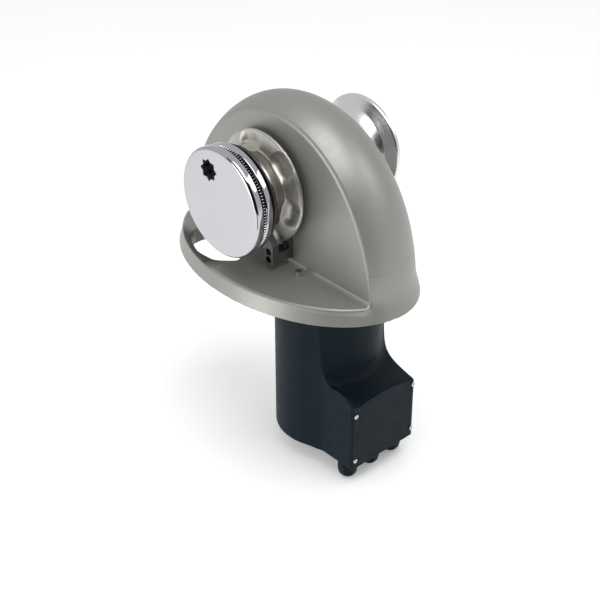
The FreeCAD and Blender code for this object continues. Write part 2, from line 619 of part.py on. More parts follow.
made = doc.addObject("Part::Feature", "worm_wheel")
made.Label = "worm_wheel"
made.Shape = worm_wheel_shape()
place(made, 0, S.shaft_y, S.shaft_z)
keep(made)


def worm_shape():
    """One right-hand thread round the worm shaft, with its journals; the axis is local Z."""
    root, tip = pitch_r - 2.5, pitch_r + 1.75
    tan20 = math.tan(math.radians(20))

    def half(r):
        return lead / 4.0 - slack / 4.0 + (pitch_r - r) * tan20

    length = 50.0
    start = S.shaft_z.value - length / 2.0
    low = root - 0.4
    helix = Part.makeHelix(lead, length, pitch_r)
    helix.translate(V(0, 0, start))
    section = Part.makePolygon([V(low, 0, start - half(low)), V(tip, 0, start - half(tip)), V(tip, 0, start + half(tip)),
                                V(low, 0, start + half(low)), V(low, 0, start - half(low))])
    thread = Part.Wire(helix.Edges).makePipeShell([section], True, True)
    if thread.ShapeType != "Solid":
        thread = Part.makeSolid(thread)
    outline = [V(0, 0, 30), V(7.5, 0, 30), V(7.5, 0, 71), V(9.5, 0, 71.2), V(9.5, 0, 72.4), V(root, 0, 72.6), V(root, 0, 127),
               V(6.0, 0, 129), V(6.0, 0, 139), V(0, 0, 139), V(0, 0, 30)]
    core = Part.Face(Part.makePolygon(outline)).revolve(V(0, 0, 0), V(0, 0, 1), 360)
    core = Part.makeSolid(core) if core.ShapeType != "Solid" else core
    # phase: at the wheel's side (+Y) the thread stands in the space between two teeth at shaft height
    thread.rotate(V(0, 0, 0), V(0, 0, 1), 90 + 360.0 * ((length / 2.0) / lead - math.floor((length / 2.0) / lead)) * -1 + PHASE)
    pin_hole = Part.makeCylinder(2.0, 60, V(0, -30, 38), V(0, 1, 0))
    return core.fuse(thread).cut(pin_hole)


# the wheel has a tooth centred on -Y (tooth number teeth/2), so the thread must miss z = shaft_z by half a lead
PHASE = 180.0
made = doc.addObject("Part::Feature", "worm_shaft")
made.Label = "worm_shaft"
made.Shape = worm_shape()
place(made, S.motor_x, S.motor_y, 0)
keep(made)


def rings_on_motor(label, spans, low_high):
    made = body(label)
    for (z0, z1), (low, high) in zip(spans, low_high):
        turn(made, poly(made, "XZ_Plane", [(low, z0), (high, z0), (high, z1), (low, z1)]), "V_Axis")
    place(made, S.motor_x, S.motor_y, 0)
    return made


# worm bearings (two) and motor bearings (two)
SPANS = [(129, 139), (60, 71), (-12, -1), (-181, -173)]
keep(rings_on_motor("worm_outer_races", SPANS[:2], [(13.0, 16.0), (14.5, 17.5)]))
keep(rings_on_motor("worm_inner_races", SPANS[:2], [(6.0, 8.6), (7.5, 10.2)]))
keep(rings_on_motor("motor_outer_races", SPANS[2:], [(14.5, 17.5), (11.6, 14.0)]))
keep(rings_on_motor("motor_inner_races", SPANS[2:], [(7.5, 10.2), (6.0, 8.2)]))
made = body("worm_balls")
ball_ring(made, 2.15, 134, 10.8, "Z_Axis", 8, "z")
other = made.newObject("PartDesign::AdditiveSphere", "worm_ball_b")
other.Radius = 2.1
other.Placement = FreeCAD.Placement(V(12.35, 0, 65.5), FreeCAD.Rotation())
around(made, [other], "Z_Axis", 9)
place(made, S.motor_x, S.motor_y, 0)
keep(made)
made = body("motor_balls")
ball_ring(made, 2.1, -6.5, 12.35, "Z_Axis", 9, "z")
other = made.newObject("PartDesign::AdditiveSphere", "motor_ball_b")
other.Radius = 1.65
other.Placement = FreeCAD.Placement(V(9.9, 0, -177), FreeCAD.Rotation())
around(made, [other], "Z_Axis", 8)
place(made, S.motor_x, S.motor_y, 0)
keep(made)
keep(motor_part("worm_seal", [(7.55, 52), (17.5, 52), (17.5, 59), (7.55, 59)]))

# coupling sleeve and its two cross pins
made = motor_part("coupling_sleeve", [(7.5, 12), (14, 12), (14, 46), (7.5, 46)])
doc.recompute()
cut(made, rings(made, "XZ_Plane", [(0, 20, 2), (0, 38, 2)]), 60, both=True)
keep(made)
made = body("coupling_pins")
pad(made, rings(made, "XZ_Plane", [(0, 20, 2), (0, 38, 2)]), 27, both=True)
place(made, S.motor_x, S.motor_y, 0)
keep(made)

# ===================================================================== motor
made = motor_part("motor_flange", [(8.6, 0), (8.6, -0.6), (17.5, -0.6), (17.5, -12), (S.flange_r, -12), (S.flange_r, -0.4),
                                   (23.8, -0.4), (23.8, 6), (18, 6), (18, 0)])
doc.recompute()
cut(made, rings(made, "XY_Plane", [(51 * math.cos(math.radians(45 + 90 * i)), 51 * math.sin(math.radians(45 + 90 * i)), 3.2)
                                   for i in range(4)], 0), 20)
cut(made, rings(made, "XY_Plane", [(39.5, 0, 2.5), (-39.5, 0, 2.5)], -13), 9, back=True)
keep(made)
made = body("flange_screws")
a = math.radians(45)
one = pad(made, rings(made, "XY_Plane", [(51 * math.cos(a), 51 * math.sin(a), 3.0)], -12), 25)
two = pad(made, rings(made, "XY_Plane", [(51 * math.cos(a), 51 * math.sin(a), 4.8)], -12), 6, back=True)
doc.recompute()
three = cut(made, rings(made, "XY_Plane", [(51 * math.cos(a), 51 * math.sin(a), 2.5)], -18), 3, back=True)
around(made, [one, two, three], "Z_Axis", 4)
place(made, S.motor_x, S.motor_y, 0)
keep(made)
keep(motor_part("motor_can", [(S.can_in_r, -172), (S.can_r, -172), (S.can_r, -12), (S.can_in_r, -12)]))
made = body("stator_magnets")
arc = []
for i in range(9):
    a = math.radians(45 - 35 + 70.0 * i / 8)
    arc.append((S.can_in_r.value * math.cos(a), S.can_in_r.value * math.sin(a)))
for i in range(9):
    a = math.radians(45 + 35 - 70.0 * i / 8)
    arc.append((37.2 * math.cos(a), 37.2 * math.sin(a)))
one = pad(made, poly(made, "XY_Plane", arc, -140), 96)
around(made, [one], "Z_Axis", 4)
place(made, S.motor_x, S.motor_y, 0)
keep(made)
made = motor_part("end_bell", [(6.3, -184), (S.can_r, -184), (S.can_r, -172), (14, -172), (14, -181), (6.3, -181)])
doc.recompute()
cut(made, rings(made, "XY_Plane", [(39.5, 0, 2.6), (-39.5, 0, 2.6)], -190), 30, back=True)
cut(made, rings(made, "XY_Plane", [(38 * math.cos(math.radians(90 + 120 * i)), 38 * math.sin(math.radians(90 + 120 * i)), 2.5)
                                   for i in range(3)], -190), 14, back=True)
keep(made)
made = body("through_bolts")
pad(made, rings(made, "XY_Plane", [(39.5, 0, 2.5), (-39.5, 0, 2.5)], -184), 180)
pad(made, rings(made, "XY_Plane", [(39.5, 0, 4.4), (-39.5, 0, 4.4)], -184), 4, back=True)
place(made, S.motor_x, S.motor_y, 0)
keep(made)
made = motor_part("rotor_shaft", [(0, -183), (6, -183), (6, -172), (8, -172), (8, -36), (9.5, -36), (9.5, -13), (7.5, -13),
                                  (7.5, 29.5), (0, 29.5)])
doc.recompute()
cut(made, rings(made, "XZ_Plane", [(0, 20, 2)]), 40, both=True)
keep(made)
made = motor_part("armature_core", [(8, -137), (S.core_r, -137), (S.core_r, -47), (8, -47)])
doc.recompute()
slot = cut(made, poly(made, "XY_Plane", [(23, -2.4), (37.5, -2.4), (37.5, 2.4), (23, 2.4)], -150), 120, back=True)
around(made, [slot], "Z_Axis", 12)
keep(made)
keep(rings_on_motor("armature_windings", [(-47, -38), (-147, -137)], [(10.0, 33.5), (10.0, 33.5)]))
keep(motor_part("commutator", [(8, -167), (20, -167), (20, -150), (8, -150)]))
made = motor_part("brush_holder", [(27, -165), (S.can_in_r, -165), (S.can_in_r, -152), (27, -152)])
doc.recompute()
cut(made, rings(made, "XY_Plane", [(39.5, 0, 3.2), (-39.5, 0, 3.2)], -170), 30, back=True)
diag = math.sqrt(0.5)
gap = cut(made, poly(made, "XY_Plane", [((r + w) * diag, (r - w) * diag) for r, w in ((24, -3.7), (24, 3.7), (37, 3.7), (37, -3.7))], -163),
          9, back=True)
around(made, [gap], "Z_Axis", 4)
keep(made)
made = body("brushes")
one = pad(made, poly(made, "XY_Plane", [((r + w) * diag, (r - w) * diag) for r, w in ((20.6, -3.5), (20.6, 3.5), (36, 3.5), (36, -3.5))],
                     -162), 7)
around(made, [one], "Z_Axis", 4)
place(made, S.motor_x, S.motor_y, 0)
keep(made)

# ============================================== motor casing and terminal box
made = body("motor_casing")
pad(made, rings(made, "XY_Plane", [(0, 0, S.casing_r)], S.casing_bottom), -1.5 - S.casing_bottom)
face = S.box_face_y + 3.8
profile = [(0, S.casing_bottom), (face, S.casing_bottom), (face, S.box_top_z + 1.6), (-80.4, -129.6), (-70.4, -126.9), (-62.5, -124.2),
           (-57.4, -122.0), (-52.0, -118.4), (-47.6, -113.6), (-44.3, -107.5), (-42.2, -101.0), (-40.6, -92.0), (-39.6, -82.0), (-38.9, -70.0),
           (0, -70.0)]
pad(made, poly(made, "YZ_Plane", profile), S.box_half_w * 2, both=True)
doc.recompute()
cut(made, rings(made, "XY_Plane", [(0, 0, S.casing_r - S.casing_wall)], S.casing_bottom + 4), 230, back=True)
cut(made, poly(made, "XY_Plane", [(-38.5, -95), (38.5, -95), (38.5, -45), (-38.5, -45)], S.casing_bottom + 8), 62, back=True)
pad(made, rings(made, "XY_Plane", [(38 * math.cos(math.radians(90 + 120 * i)), 38 * math.sin(math.radians(90 + 120 * i)), 7)
                                   for i in range(3)], S.casing_bottom + 3), 24.8)
doc.recompute()
cut(made, rings(made, "XY_Plane", [(38 * math.cos(math.radians(90 + 120 * i)), 38 * math.sin(math.radians(90 + 120 * i)), 2.8)
                                   for i in range(3)], S.casing_bottom - 1), 40, back=True)
cut(made, rings(made, "XY_Plane", [(38 * math.cos(math.radians(90 + 120 * i)), 38 * math.sin(math.radians(90 + 120 * i)), 4.6)
                                   for i in range(3)], S.casing_bottom - 1), 6, back=True)
# gland holes in the box floor, tapped holes for the cover screws
cut(made, rings(made, "XY_Plane", [(-S.gland_dx, S.gland_y, 8.0), (0, S.gland_y, 8.0), (S.gland_dx, S.gland_y, 8.0)],
                S.casing_bottom - 2), 10, back=True)
corner = [(sx * S.screw_dx, z) for sx in (1, -1) for z in (S.screw_hi_z, S.screw_lo_z)]
cut(made, rings(made, "XZ_Plane", [(u, v, 1.9) for u, v in corner], 92), 14)
cut(made, rings(made, "XY_Plane", [(-S.gland_dx, S.gland_y, 8.2), (S.gland_dx, S.gland_y, 8.2)], S.casing_bottom + 7.5), 12, back=True)
place(made, S.motor_x, S.motor_y, 0)
keep(made)
keep(motor_part("casing_seal", [(57.6, -1.5), (60.0, -1.5), (60.0, -0.1), (57.6, -0.1)]))
made = body("casing_screws")
spots = [(38 * math.cos(math.radians(90 + 120 * i)), 38 * math.sin(math.radians(90 + 120 * i))) for i in range(3)]
pad(made, rings(made, "XY_Plane", [(u, v, 2.5) for u, v in spots], -207), 30)
pad(made, rings(made, "XY_Plane", [(u, v, 4.3) for u, v in spots], -211.5), 4.5)
doc.recompute()
cut(made, rings(made, "XY_Plane", [(u, v, 2.1) for u, v in spots], -212), 3, back=True)
place(made, S.motor_x, S.motor_y, 0)
keep(made)

for label, near, thick, hole in (("cover_gasket", 87.7, 0.8, 2.3), ("terminal_cover", 88.5, 3.0, 2.3)):
    made = body(label)
    w = S.box_half_w
    pad(made, poly(made, "XZ_Plane", [(-w, S.casing_bottom), (w, S.casing_bottom), (w, S.box_top_z), (-w, S.box_top_z)], near), thick)
    doc.recompute()
    cut(made, rings(made, "XZ_Plane", [(u, v, hole) for u, v in corner], near - 1), thick + 2, back=True)
    if label == "cover_gasket":
        cut(made, poly(made, "XZ_Plane", [(-38, -203.5), (38, -203.5), (38, -143), (-38, -143)], near - 1), thick + 2, back=True)
    place(made, S.motor_x, S.motor_y, 0)
    keep(made)
made = body("cover_screws")
pad(made, rings(made, "XZ_Plane", [(u, v, 1.9) for u, v in corner], 91.5), 12, back=True)
pad(made, rings(made, "XZ_Plane", [(u, v, 2.6) for u, v in corner], 91.5), 0.9)
doc.recompute()
cut(made, rings(made, "XZ_Plane", [(u, v, 1.1) for u, v in corner], 92.4), 0.7)
place(made, S.motor_x, S.motor_y, 0)
keep(made)

# cable glands: threaded bodies, dome nuts and rubber inserts, with one clear bore
GLANDS = [-S.gland_dx, dim(0), S.gland_dx]


def gland_rings(label, spans):
    made = body(label)
    for z0, z1, radius in spans:
        pad(made, rings(made, "XY_Plane", [(u, S.gland_y, radius) for u in GLANDS], z0), dim(z1) - z0)
    return made


made = gland_rings("gland_bodies", [(-228, -204.2, 7.5), (-211.9, -204.2, 8.0), (-218.5, -212.0, S.gland_r)])
doc.recompute()
cut(made, rings(made, "XY_Plane", [(u, S.gland_y, S.gland_bore_r) for u in GLANDS], -240), 60, back=True)
place(made, S.motor_x, S.motor_y, 0)
keep(made)
made = gland_rings("gland_nuts", [(-232, -218.7, S.gland_r), (-234.6, -232, S.gland_r - 1.3), (S.gland_bottom, -234.6, S.gland_r - 3.2)])
doc.recompute()
cut(made, rings(made, "XY_Plane", [(u, S.gland_y, 7.5) for u in GLANDS], -232), 20, back=True)
cut(made, rings(made, "XY_Plane", [(u, S.gland_y, S.gland_bore_r) for u in GLANDS], -240), 60, back=True)
place(made, S.motor_x, S.motor_y, 0)
keep(made)
made = gland_rings("gland_inserts", [(-232, -228, 7.5)])
doc.recompute()
cut(made, rings(made, "XY_Plane", [(u, S.gland_y, S.gland_bore_r) for u in GLANDS], -240), 60, back=True)
place(made, S.motor_x, S.motor_y, 0)
keep(made)

# terminal block under the roof of the box, three studs with nuts
made = body("terminal_block")
pad(made, poly(made, "XY_Plane", [(-32, -84), (32, -84), (32, -64), (-32, -64)], -156), 14)
place(made, S.motor_x, S.motor_y, 0)
doc.recompute()
cut(made, rings(made, "XY_Plane", [(-20, -74, 3), (0, -74, 3), (20, -74, 3)], -157), 11, back=True)
keep(made)
made = body("terminal_studs")
pad(made, rings(made, "XY_Plane", [(-20, -74, 3), (0, -74, 3), (20, -74, 3)], -172), 26)
pad(made, rings(made, "XY_Plane", [(-20, -74, 5), (0, -74, 5), (20, -74, 5)], -161), 5)
place(made, S.motor_x, S.motor_y, 0)
keep(made)

# ================================================================== write out
doc.recompute()
problems = []
for obj in doc.Objects:
    if "Invalid" in obj.State or "Error" in obj.State:
        problems.append("%s %s" % (obj.Label, obj.State))
names = set()
for part in PARTS:
    if part.Shape.isNull() or not part.Shape.isValid() or not part.Shape.Solids:
        problems.append("%s has no valid shape" % part.Label)
    if part.Label in names or len(part.Label) > 59:
        problems.append("label %s" % part.Label)
    names.add(part.Label)
if len(PARTS) > 60:
    problems.append("too many parts")
if problems:
    raise SystemExit("failed: " + "; ".join(problems))
os.makedirs("parts", exist_ok=True)
for part in PARTS:
    part.Shape.exportStep("parts/%s.step" % part.Label)
    print("%-20s solids %2d volume %10.0f" % (part.Label, len(part.Shape.Solids), part.Shape.Volume))
print(len(PARTS), "parts")
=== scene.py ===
"""Horizontal anchor windlass: surfaces, finishes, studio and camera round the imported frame."""
import json
import math
import bpy
import bmesh
import numpy as np
from mathutils import Matrix, Vector


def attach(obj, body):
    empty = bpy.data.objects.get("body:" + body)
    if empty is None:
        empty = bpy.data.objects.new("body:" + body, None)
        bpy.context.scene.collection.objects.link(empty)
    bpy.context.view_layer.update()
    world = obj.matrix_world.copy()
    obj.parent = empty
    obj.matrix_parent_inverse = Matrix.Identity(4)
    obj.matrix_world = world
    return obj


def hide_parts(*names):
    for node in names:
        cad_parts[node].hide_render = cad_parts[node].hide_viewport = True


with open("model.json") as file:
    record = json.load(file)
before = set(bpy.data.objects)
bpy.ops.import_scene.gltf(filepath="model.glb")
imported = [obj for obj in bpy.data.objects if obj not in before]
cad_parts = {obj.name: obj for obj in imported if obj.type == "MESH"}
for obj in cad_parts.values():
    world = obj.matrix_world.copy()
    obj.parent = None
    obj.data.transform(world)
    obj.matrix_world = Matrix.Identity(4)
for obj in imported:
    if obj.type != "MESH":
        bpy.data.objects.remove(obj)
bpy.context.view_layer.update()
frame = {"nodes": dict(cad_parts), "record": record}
MM = 0.001
AX_Y, AX_Z = 10.0, 100.0          # main shaft axis (row frame, mm)
MO_X, MO_Y = 20.0, -28.0          # worm and motor axis

# ------------------------------------------------------------------ camera
def make_camera():
    yaw, pitch, roll = math.radians(-42.4), math.radians(32.57), math.radians(-0.15)
    look = Vector((-math.sin(yaw) * math.cos(pitch), math.cos(yaw) * math.cos(pitch), -math.sin(pitch)))
    right = Vector((math.cos(yaw), math.sin(yaw), 0.0))
    down = -right.cross(look)
    c, s = math.cos(roll), math.sin(roll)
    right, down = right * c - down * s, right * s + down * c
    offset = Vector((19.7, -28.4, 100.0)) * MM
    along = Vector((31.56, -126.32, 1388.51)) * MM
    place = offset - right * along.x - down * along.y - look * along.z
    cam = bpy.data.objects.new("camera", bpy.data.cameras.new("camera"))
    bpy.context.scene.collection.objects.link(cam)
    up, back = -down, -look
    cam.matrix_world = Matrix(((right.x, up.x, back.x, place.x), (right.y, up.y, back.y, place.y),
                               (right.z, up.z, back.z, place.z), (0, 0, 0, 1)))
    cam.data.sensor_width = 36.0
    cam.data.lens = 36.0 * 1322.84 / 600.0
    cam.data.clip_start, cam.data.clip_end = 0.05, 60.0
    bpy.context.scene.camera = cam
    return cam


make_camera()
bpy.context.scene.view_settings.view_transform = "Standard"
bpy.context.scene.view_settings.look = "None"

# ------------------------------------------------------------------ distance functions (mm)
def smoothstep(a, b, v):
    t = np.clip((v - a) / (b - a), 0.0, 1.0)
    return t * t * (3.0 - 2.0 * t)


def iround(a, b, r):
    u, v = np.maximum(a + r, 0), np.maximum(b + r, 0)
    return np.minimum(-r, np.maximum(a, b)) + np.sqrt(u * u + v * v)


def uround(a, b, r):
    u, v = np.maximum(r - a, 0), np.maximum(r - b, 0)
    return np.maximum(r, np.minimum(a, b)) - np.sqrt(u * u + v * v)


def ellipse_d(x, y, ax, ay):
    k0 = np.sqrt((x / ax) ** 2 + (y / ay) ** 2) + 1e-6
    k1 = np.sqrt((x / ax ** 2) ** 2 + (y / ay ** 2) ** 2) + 1e-9
    return k0 * (k0 - 1.0) / k1


def ellipsoid_d(x, y, z, ax, ay, az):
    k0 = np.sqrt((x / ax) ** 2 + (y / ay) ** 2 + (z / az) ** 2) + 1e-6
    k1 = np.sqrt((x / ax ** 2) ** 2 + (y / ay ** 2) ** 2 + (z / az ** 2) ** 2) + 1e-9
    return k0 * (k0 - 1.0) / k1


def rod_z(x, y, z, cx, cy, r, z0, z1):
    return np.maximum(np.hypot(x - cx, y - cy) - r, np.maximum(z0 - z, z - z1))


def rod_x(x, y, z, cy, cz, r, x0, x1):
    return np.maximum(np.hypot(y - cy, z - cz) - r, np.maximum(x0 - x, x - x1))


def rounded(points, arc_step=14.0):
    """Closed outline from (a, b, radius) corners: every corner becomes an arc of its radius."""
    out, n = [], len(points)
    for i in range(n):
        p0, p1, p2 = points[i - 1], points[i], points[(i + 1) % n]
        a = np.array(p0[:2], float); b = np.array(p1[:2], float); c = np.array(p2[:2], float)
        r = p1[2] if len(p1) > 2 else 0.0
        u, v = a - b, c - b
        lu, lv = np.linalg.norm(u), np.linalg.norm(v)
        if r <= 0 or lu < 1e-6 or lv < 1e-6:
            out.append(b)
            continue
        u, v = u / lu, v / lv
        half = math.acos(max(-1.0, min(1.0, float(u.dot(v))))) / 2
        if half > math.pi / 2 - 1e-3:
            out.append(b)
            continue
        reach = min(r / math.tan(half), 0.49 * lu, 0.49 * lv)
        rr = reach * math.tan(half)
        mid = (u + v) / np.linalg.norm(u + v)
        centre = b + mid * rr / math.sin(half)
        s, e = b + u * reach - centre, b + v * reach - centre
        a0, a1 = math.atan2(s[1], s[0]), math.atan2(e[1], e[0])
        turn = (a1 - a0 + math.pi) % (2 * math.pi) - math.pi
        steps = max(2, int(abs(math.degrees(turn)) / arc_step) + 1)
        for k in range(steps + 1):
            t = a0 + turn * k / steps
            out.append(centre + rr * np.array((math.cos(t), math.sin(t))))
    clean = [out[0]]
    for p in out[1:]:
        if np.linalg.norm(p - clean[-1]) > 1e-4:
            clean.append(p)
    return np.array(clean)


class Outline:
    """Signed distance to a closed outline, looked up on a fine grid."""

    def __init__(self, pts, step=0.4, margin=8.0):
        pts = np.asarray(pts, float)
        lo, hi = pts.min(0) - margin, pts.max(0) + margin
        self.lo, self.step = lo, step
        na, nb = (np.ceil((hi - lo) / step).astype(int) + 1)
        a = lo[0] + step * np.arange(na); b = lo[1] + step * np.arange(nb)
        A, B = np.meshgrid(a, b, indexing="ij")
        best = np.full(A.shape, 1e9); inside = np.zeros(A.shape, bool)
        for i in range(len(pts)):
            p, q = pts[i], pts[(i + 1) % len(pts)]
            e = q - p
            t = np.clip(((A - p[0]) * e[0] + (B - p[1]) * e[1]) / max(e.dot(e), 1e-12), 0, 1)
            best = np.minimum(best, (A - p[0] - t * e[0]) ** 2 + (B - p[1] - t * e[1]) ** 2)
            if p[1] != q[1]:
                c = ((p[1] > B) != (q[1] > B)) & (A < (q[0] - p[0]) * (B - p[1]) / (q[1] - p[1]) + p[0])
                inside ^= c
        self.grid = (np.where(inside, -1, 1) * np.sqrt(best)).astype(np.float32)

    def __call__(self, a, b):
        g, s = self.grid, self.step
        fa = np.clip((a - self.lo[0]) / s, 0, g.shape[0] - 1.001)
        fb = np.clip((b - self.lo[1]) / s, 0, g.shape[1] - 1.001)
        i = fa.astype(np.int32); j = fb.astype(np.int32)
        u = fa - i; v = fb - j
        return (g[i, j] * (1 - u) * (1 - v) + g[i + 1, j] * u * (1 - v) + g[i, j + 1] * (1 - u) * v + g[i + 1, j + 1] * u * v)


def graded(lo, hi, coarse, bands):
    """Grid lines from lo to hi: coarse spacing, with finer spacing inside each (start, end, fine) band."""
    out, v = [lo], lo
    while v < hi:
        step = coarse
        for b0, b1, fine in bands:
            if b0 <= v < b1:
                step = min(step, fine)
            elif v < b0 and v + step > b0:
                step = max(min(step, b0 - v), fine)
        v += step
        out.append(v)
    return np.array(out)


def surface(func, xs, ys, zs, steps=5, relax=1):
    """Quad surface of func = 0 (negative inside), with its points on the surface and its exact normals."""
    X, Y, Z = (a.astype(np.float32) for a in np.meshgrid(xs, ys, zs, indexing="ij"))
    V = func(X, Y, Z)
    del X, Y, Z
    inside = V < 0
    axes, cells = (xs, ys, zs), np.array(V.shape) - 1
    ids_all, pts_all, quads = [], [], []
    for a in range(3):
        lo = [slice(None)] * 3; hi = [slice(None)] * 3
        lo[a], hi[a] = slice(0, -1), slice(1, None)
        lo, hi = tuple(lo), tuple(hi)
        m = inside[lo] != inside[hi]
        idx = np.array(np.nonzero(m))
        va, vb = V[lo][m].astype(float), V[hi][m].astype(float)
        t = va / (va - vb)
        p = [axes[k][idx[k]].astype(float) for k in range(3)]
        p[a] = p[a] + t * (axes[a][idx[a] + 1] - axes[a][idx[a]])
        p = np.stack(p, 1)
        b, c = (a + 1) % 3, (a + 2) % 3
        four = []
        for db, dc in ((-1, -1), (0, -1), (0, 0), (-1, 0)):
            q = idx.copy(); q[b] += db; q[c] += dc
            four.append((q[0] * cells[1] + q[1]) * cells[2] + q[2])
            ids_all.append(four[-1]); pts_all.append(p)
        four = np.stack(four, 1)
        flip = va > 0
        four[flip] = four[flip][:, ::-1]
        quads.append(four)
    ids = np.concatenate(ids_all); pts = np.concatenate(pts_all); quads = np.concatenate(quads)
    used, inv = np.unique(ids, return_inverse=True)
    n = len(used)
    count = np.bincount(inv, minlength=n)
    verts = np.stack([np.bincount(inv, weights=pts[:, k], minlength=n) / count for k in range(3)], 1)
    quads = np.searchsorted(used, quads)

    def slope(p, h=0.03):
        g = np.empty_like(p)
        for k in range(3):
            e = np.zeros(3); e[k] = h
            g[:, k] = (func(*(p + e).T) - func(*(p - e).T)) / (2 * h)
        return g

    def project(p, count, limit=1.5):
        for _ in range(count):
            v = func(*p.T); g = slope(p)
            step = g * (v / np.maximum((g * g).sum(1), 0.05))[:, None]
            size = np.linalg.norm(step, axis=1)
            step *= np.minimum(1.0, limit / np.maximum(size, 1e-9))[:, None]
            p = p - step
        return p

    verts = project(verts, steps)
    for _ in range(relax):
        acc = np.zeros_like(verts); cnt = np.zeros(n)
        for k in range(4):
            src, dst = quads[:, k], quads[:, (k + 1) % 4]
            for d in range(3):
                acc[:, d] += np.bincount(src, weights=verts[dst, d], minlength=n) + np.bincount(dst, weights=verts[src, d], minlength=n)
            cnt += np.bincount(src, minlength=n) + np.bincount(dst, minlength=n)
        move = acc / np.maximum(cnt, 1)[:, None] - verts
        g = slope(verts); g /= np.maximum(np.linalg.norm(g, axis=1), 1e-9)[:, None]
        move -= g * (move * g).sum(1)[:, None]
        verts = project(verts + 0.45 * move, 2)
    normals = slope(verts)
    normals /= np.maximum(np.linalg.norm(normals, axis=1), 1e-9)[:, None]
    return verts, quads, normals


# ------------------------------------------------------------------ mesh helpers
def link(name, mesh, mats):
    obj = bpy.data.objects.new(name, mesh)
    bpy.context.scene.collection.objects.link(obj)
    for m in mats:
        mesh.materials.append(m)
    return obj


def mesh_object(name, verts, faces, mats, normals=None, smooth=True):
    mesh = bpy.data.meshes.new(name)
    verts = np.asarray(verts, float) * MM
    faces = [tuple(f) for f in (faces.tolist() if isinstance(faces, np.ndarray) else faces)]
    mesh.from_pydata(verts.tolist(), [], faces)
    mesh.update()
    if smooth:
        mesh.polygons.foreach_set("use_smooth", [True] * len(mesh.polygons))
    if normals is not None:
        mesh.normals_split_custom_set_from_vertices(np.asarray(normals, float).tolist())
    mesh.update()
    return link(name, mesh, mats if isinstance(mats, (list, tuple)) else [mats])


def lathe(name, outline, mats, axis="x", centre=(AX_Y, AX_Z), segments=192, band=None, mat_of=None, sharp=32.0, closed=True):
    """Turned piece: outline of (along, radius) points round the main shaft or, with axis z, round centre (x, y).
    band(along, radius, angle) gives a radius there, for knurls and flats."""
    pts = [tuple(p[:2]) for p in outline]
    n = len(pts)
    verts, rows = [], []
    for a, r in pts:
        if r < 1e-6:
            rows.append([len(verts)] * segments)
            verts.append((a, 0.0, 0.0))
            continue
        row = []
        for k in range(segments):
            t = 2 * math.pi * k / segments
            rr = band(a, r, t) if band else r
            row.append(len(verts))
            verts.append((a, rr * math.cos(t), rr * math.sin(t)))
        rows.append(row)
    faces, tags = [], []
    for i in range(n if closed else n - 1):
        j = (i + 1) % n
        if pts[i][1] < 1e-6 and pts[j][1] < 1e-6:
            continue
        for k in range(segments):
            m = (k + 1) % segments
            f = [rows[i][k], rows[j][k], rows[j][m], rows[i][m]]
            g = []
            for v in f:
                if v not in g:
                    g.append(v)
            if len(g) > 2:
                faces.append(g)
                tags.append(mat_of((pts[i][0] + pts[j][0]) / 2, (pts[i][1] + pts[j][1]) / 2) if mat_of else 0)
    verts = np.array(verts)
    if axis == "x":
        world = np.stack([verts[:, 0], verts[:, 1] + centre[0], verts[:, 2] + centre[1]], 1)
    else:
        world = np.stack([verts[:, 1] + centre[0], verts[:, 2] + centre[1], verts[:, 0]], 1)
    obj = mesh_object(name, world, faces, mats)
    obj.data.polygons.foreach_set("material_index", tags)
    tidy(obj, sharp)
    return obj


def tidy(obj, sharp=32.0):
    """Faces turned outwards, and edges steeper than sharp degrees kept crisp."""
    bm = bmesh.new()
    bm.from_mesh(obj.data)
    bmesh.ops.recalc_face_normals(bm, faces=bm.faces)
    bm.to_mesh(obj.data)
    bm.free()
    obj.data.set_sharp_from_angle(angle=math.radians(sharp))
    return obj


def join(name, parts):
    """One object from several, each keeping its materials."""
    bpy.ops.object.select_all(action="DESELECT")
    for p in parts:
        p.select_set(True)
    bpy.context.view_layer.objects.active = parts[0]
    bpy.ops.object.join()
    parts[0].name = name
    parts[0].data.name = name
    return parts[0]


def carve(target, cutter):
    """Cuts cutter out of target and removes the cutter."""
    mod = target.modifiers.new("carve", "BOOLEAN")
    mod.operation, mod.solver, mod.object = "DIFFERENCE", "EXACT", cutter
    bpy.context.view_layer.update()
    deps = bpy.context.evaluated_depsgraph_get()
    mesh = bpy.data.meshes.new_from_object(target.evaluated_get(deps))
    old = target.data
    target.modifiers.clear()
    target.data = mesh
    bpy.data.meshes.remove(old)
    bpy.data.objects.remove(cutter)
    return target

# ------------------------------------------------------------------ materials
def new_material(name, base, metallic=0.0, rough=0.4, spec=0.5):
    mat = bpy.data.materials.new(name)
    mat.use_nodes = True
    nt = mat.node_tree
    nt.nodes.clear()
    out = nt.nodes.new("ShaderNodeOutputMaterial")
    sh = nt.nodes.new("ShaderNodeBsdfPrincipled")
    nt.links.new(sh.outputs[0], out.inputs[0])
    sh.inputs["Base Color"].default_value = (*base, 1.0)
    sh.inputs["Metallic"].default_value = metallic
    sh.inputs["Roughness"].default_value = rough
    sh.inputs["Specular IOR Level"].default_value = spec
    coord = nt.nodes.new("ShaderNodeTexCoord")
    return mat, nt, sh, coord.outputs["Object"]


def noise(nt, vec, scale, detail=3.0, rough=0.55, distortion=0.0):
    n = nt.nodes.new("ShaderNodeTexNoise")
    n.inputs["Scale"].default_value = scale
    n.inputs["Detail"].default_value = detail
    n.inputs["Roughness"].default_value = rough
    n.inputs["Distortion"].default_value = distortion
    nt.links.new(vec, n.inputs["Vector"])
    return n.outputs["Fac"]


def spread(nt, value, a, b, lo, hi):
    """Maps value from a..b to lo..hi, clamped."""
    n = nt.nodes.new("ShaderNodeMapRange")
    n.inputs["From Min"].default_value, n.inputs["From Max"].default_value = a, b
    n.inputs["To Min"].default_value, n.inputs["To Max"].default_value = lo, hi
    nt.links.new(value, n.inputs["Value"])
    return n.outputs["Result"]


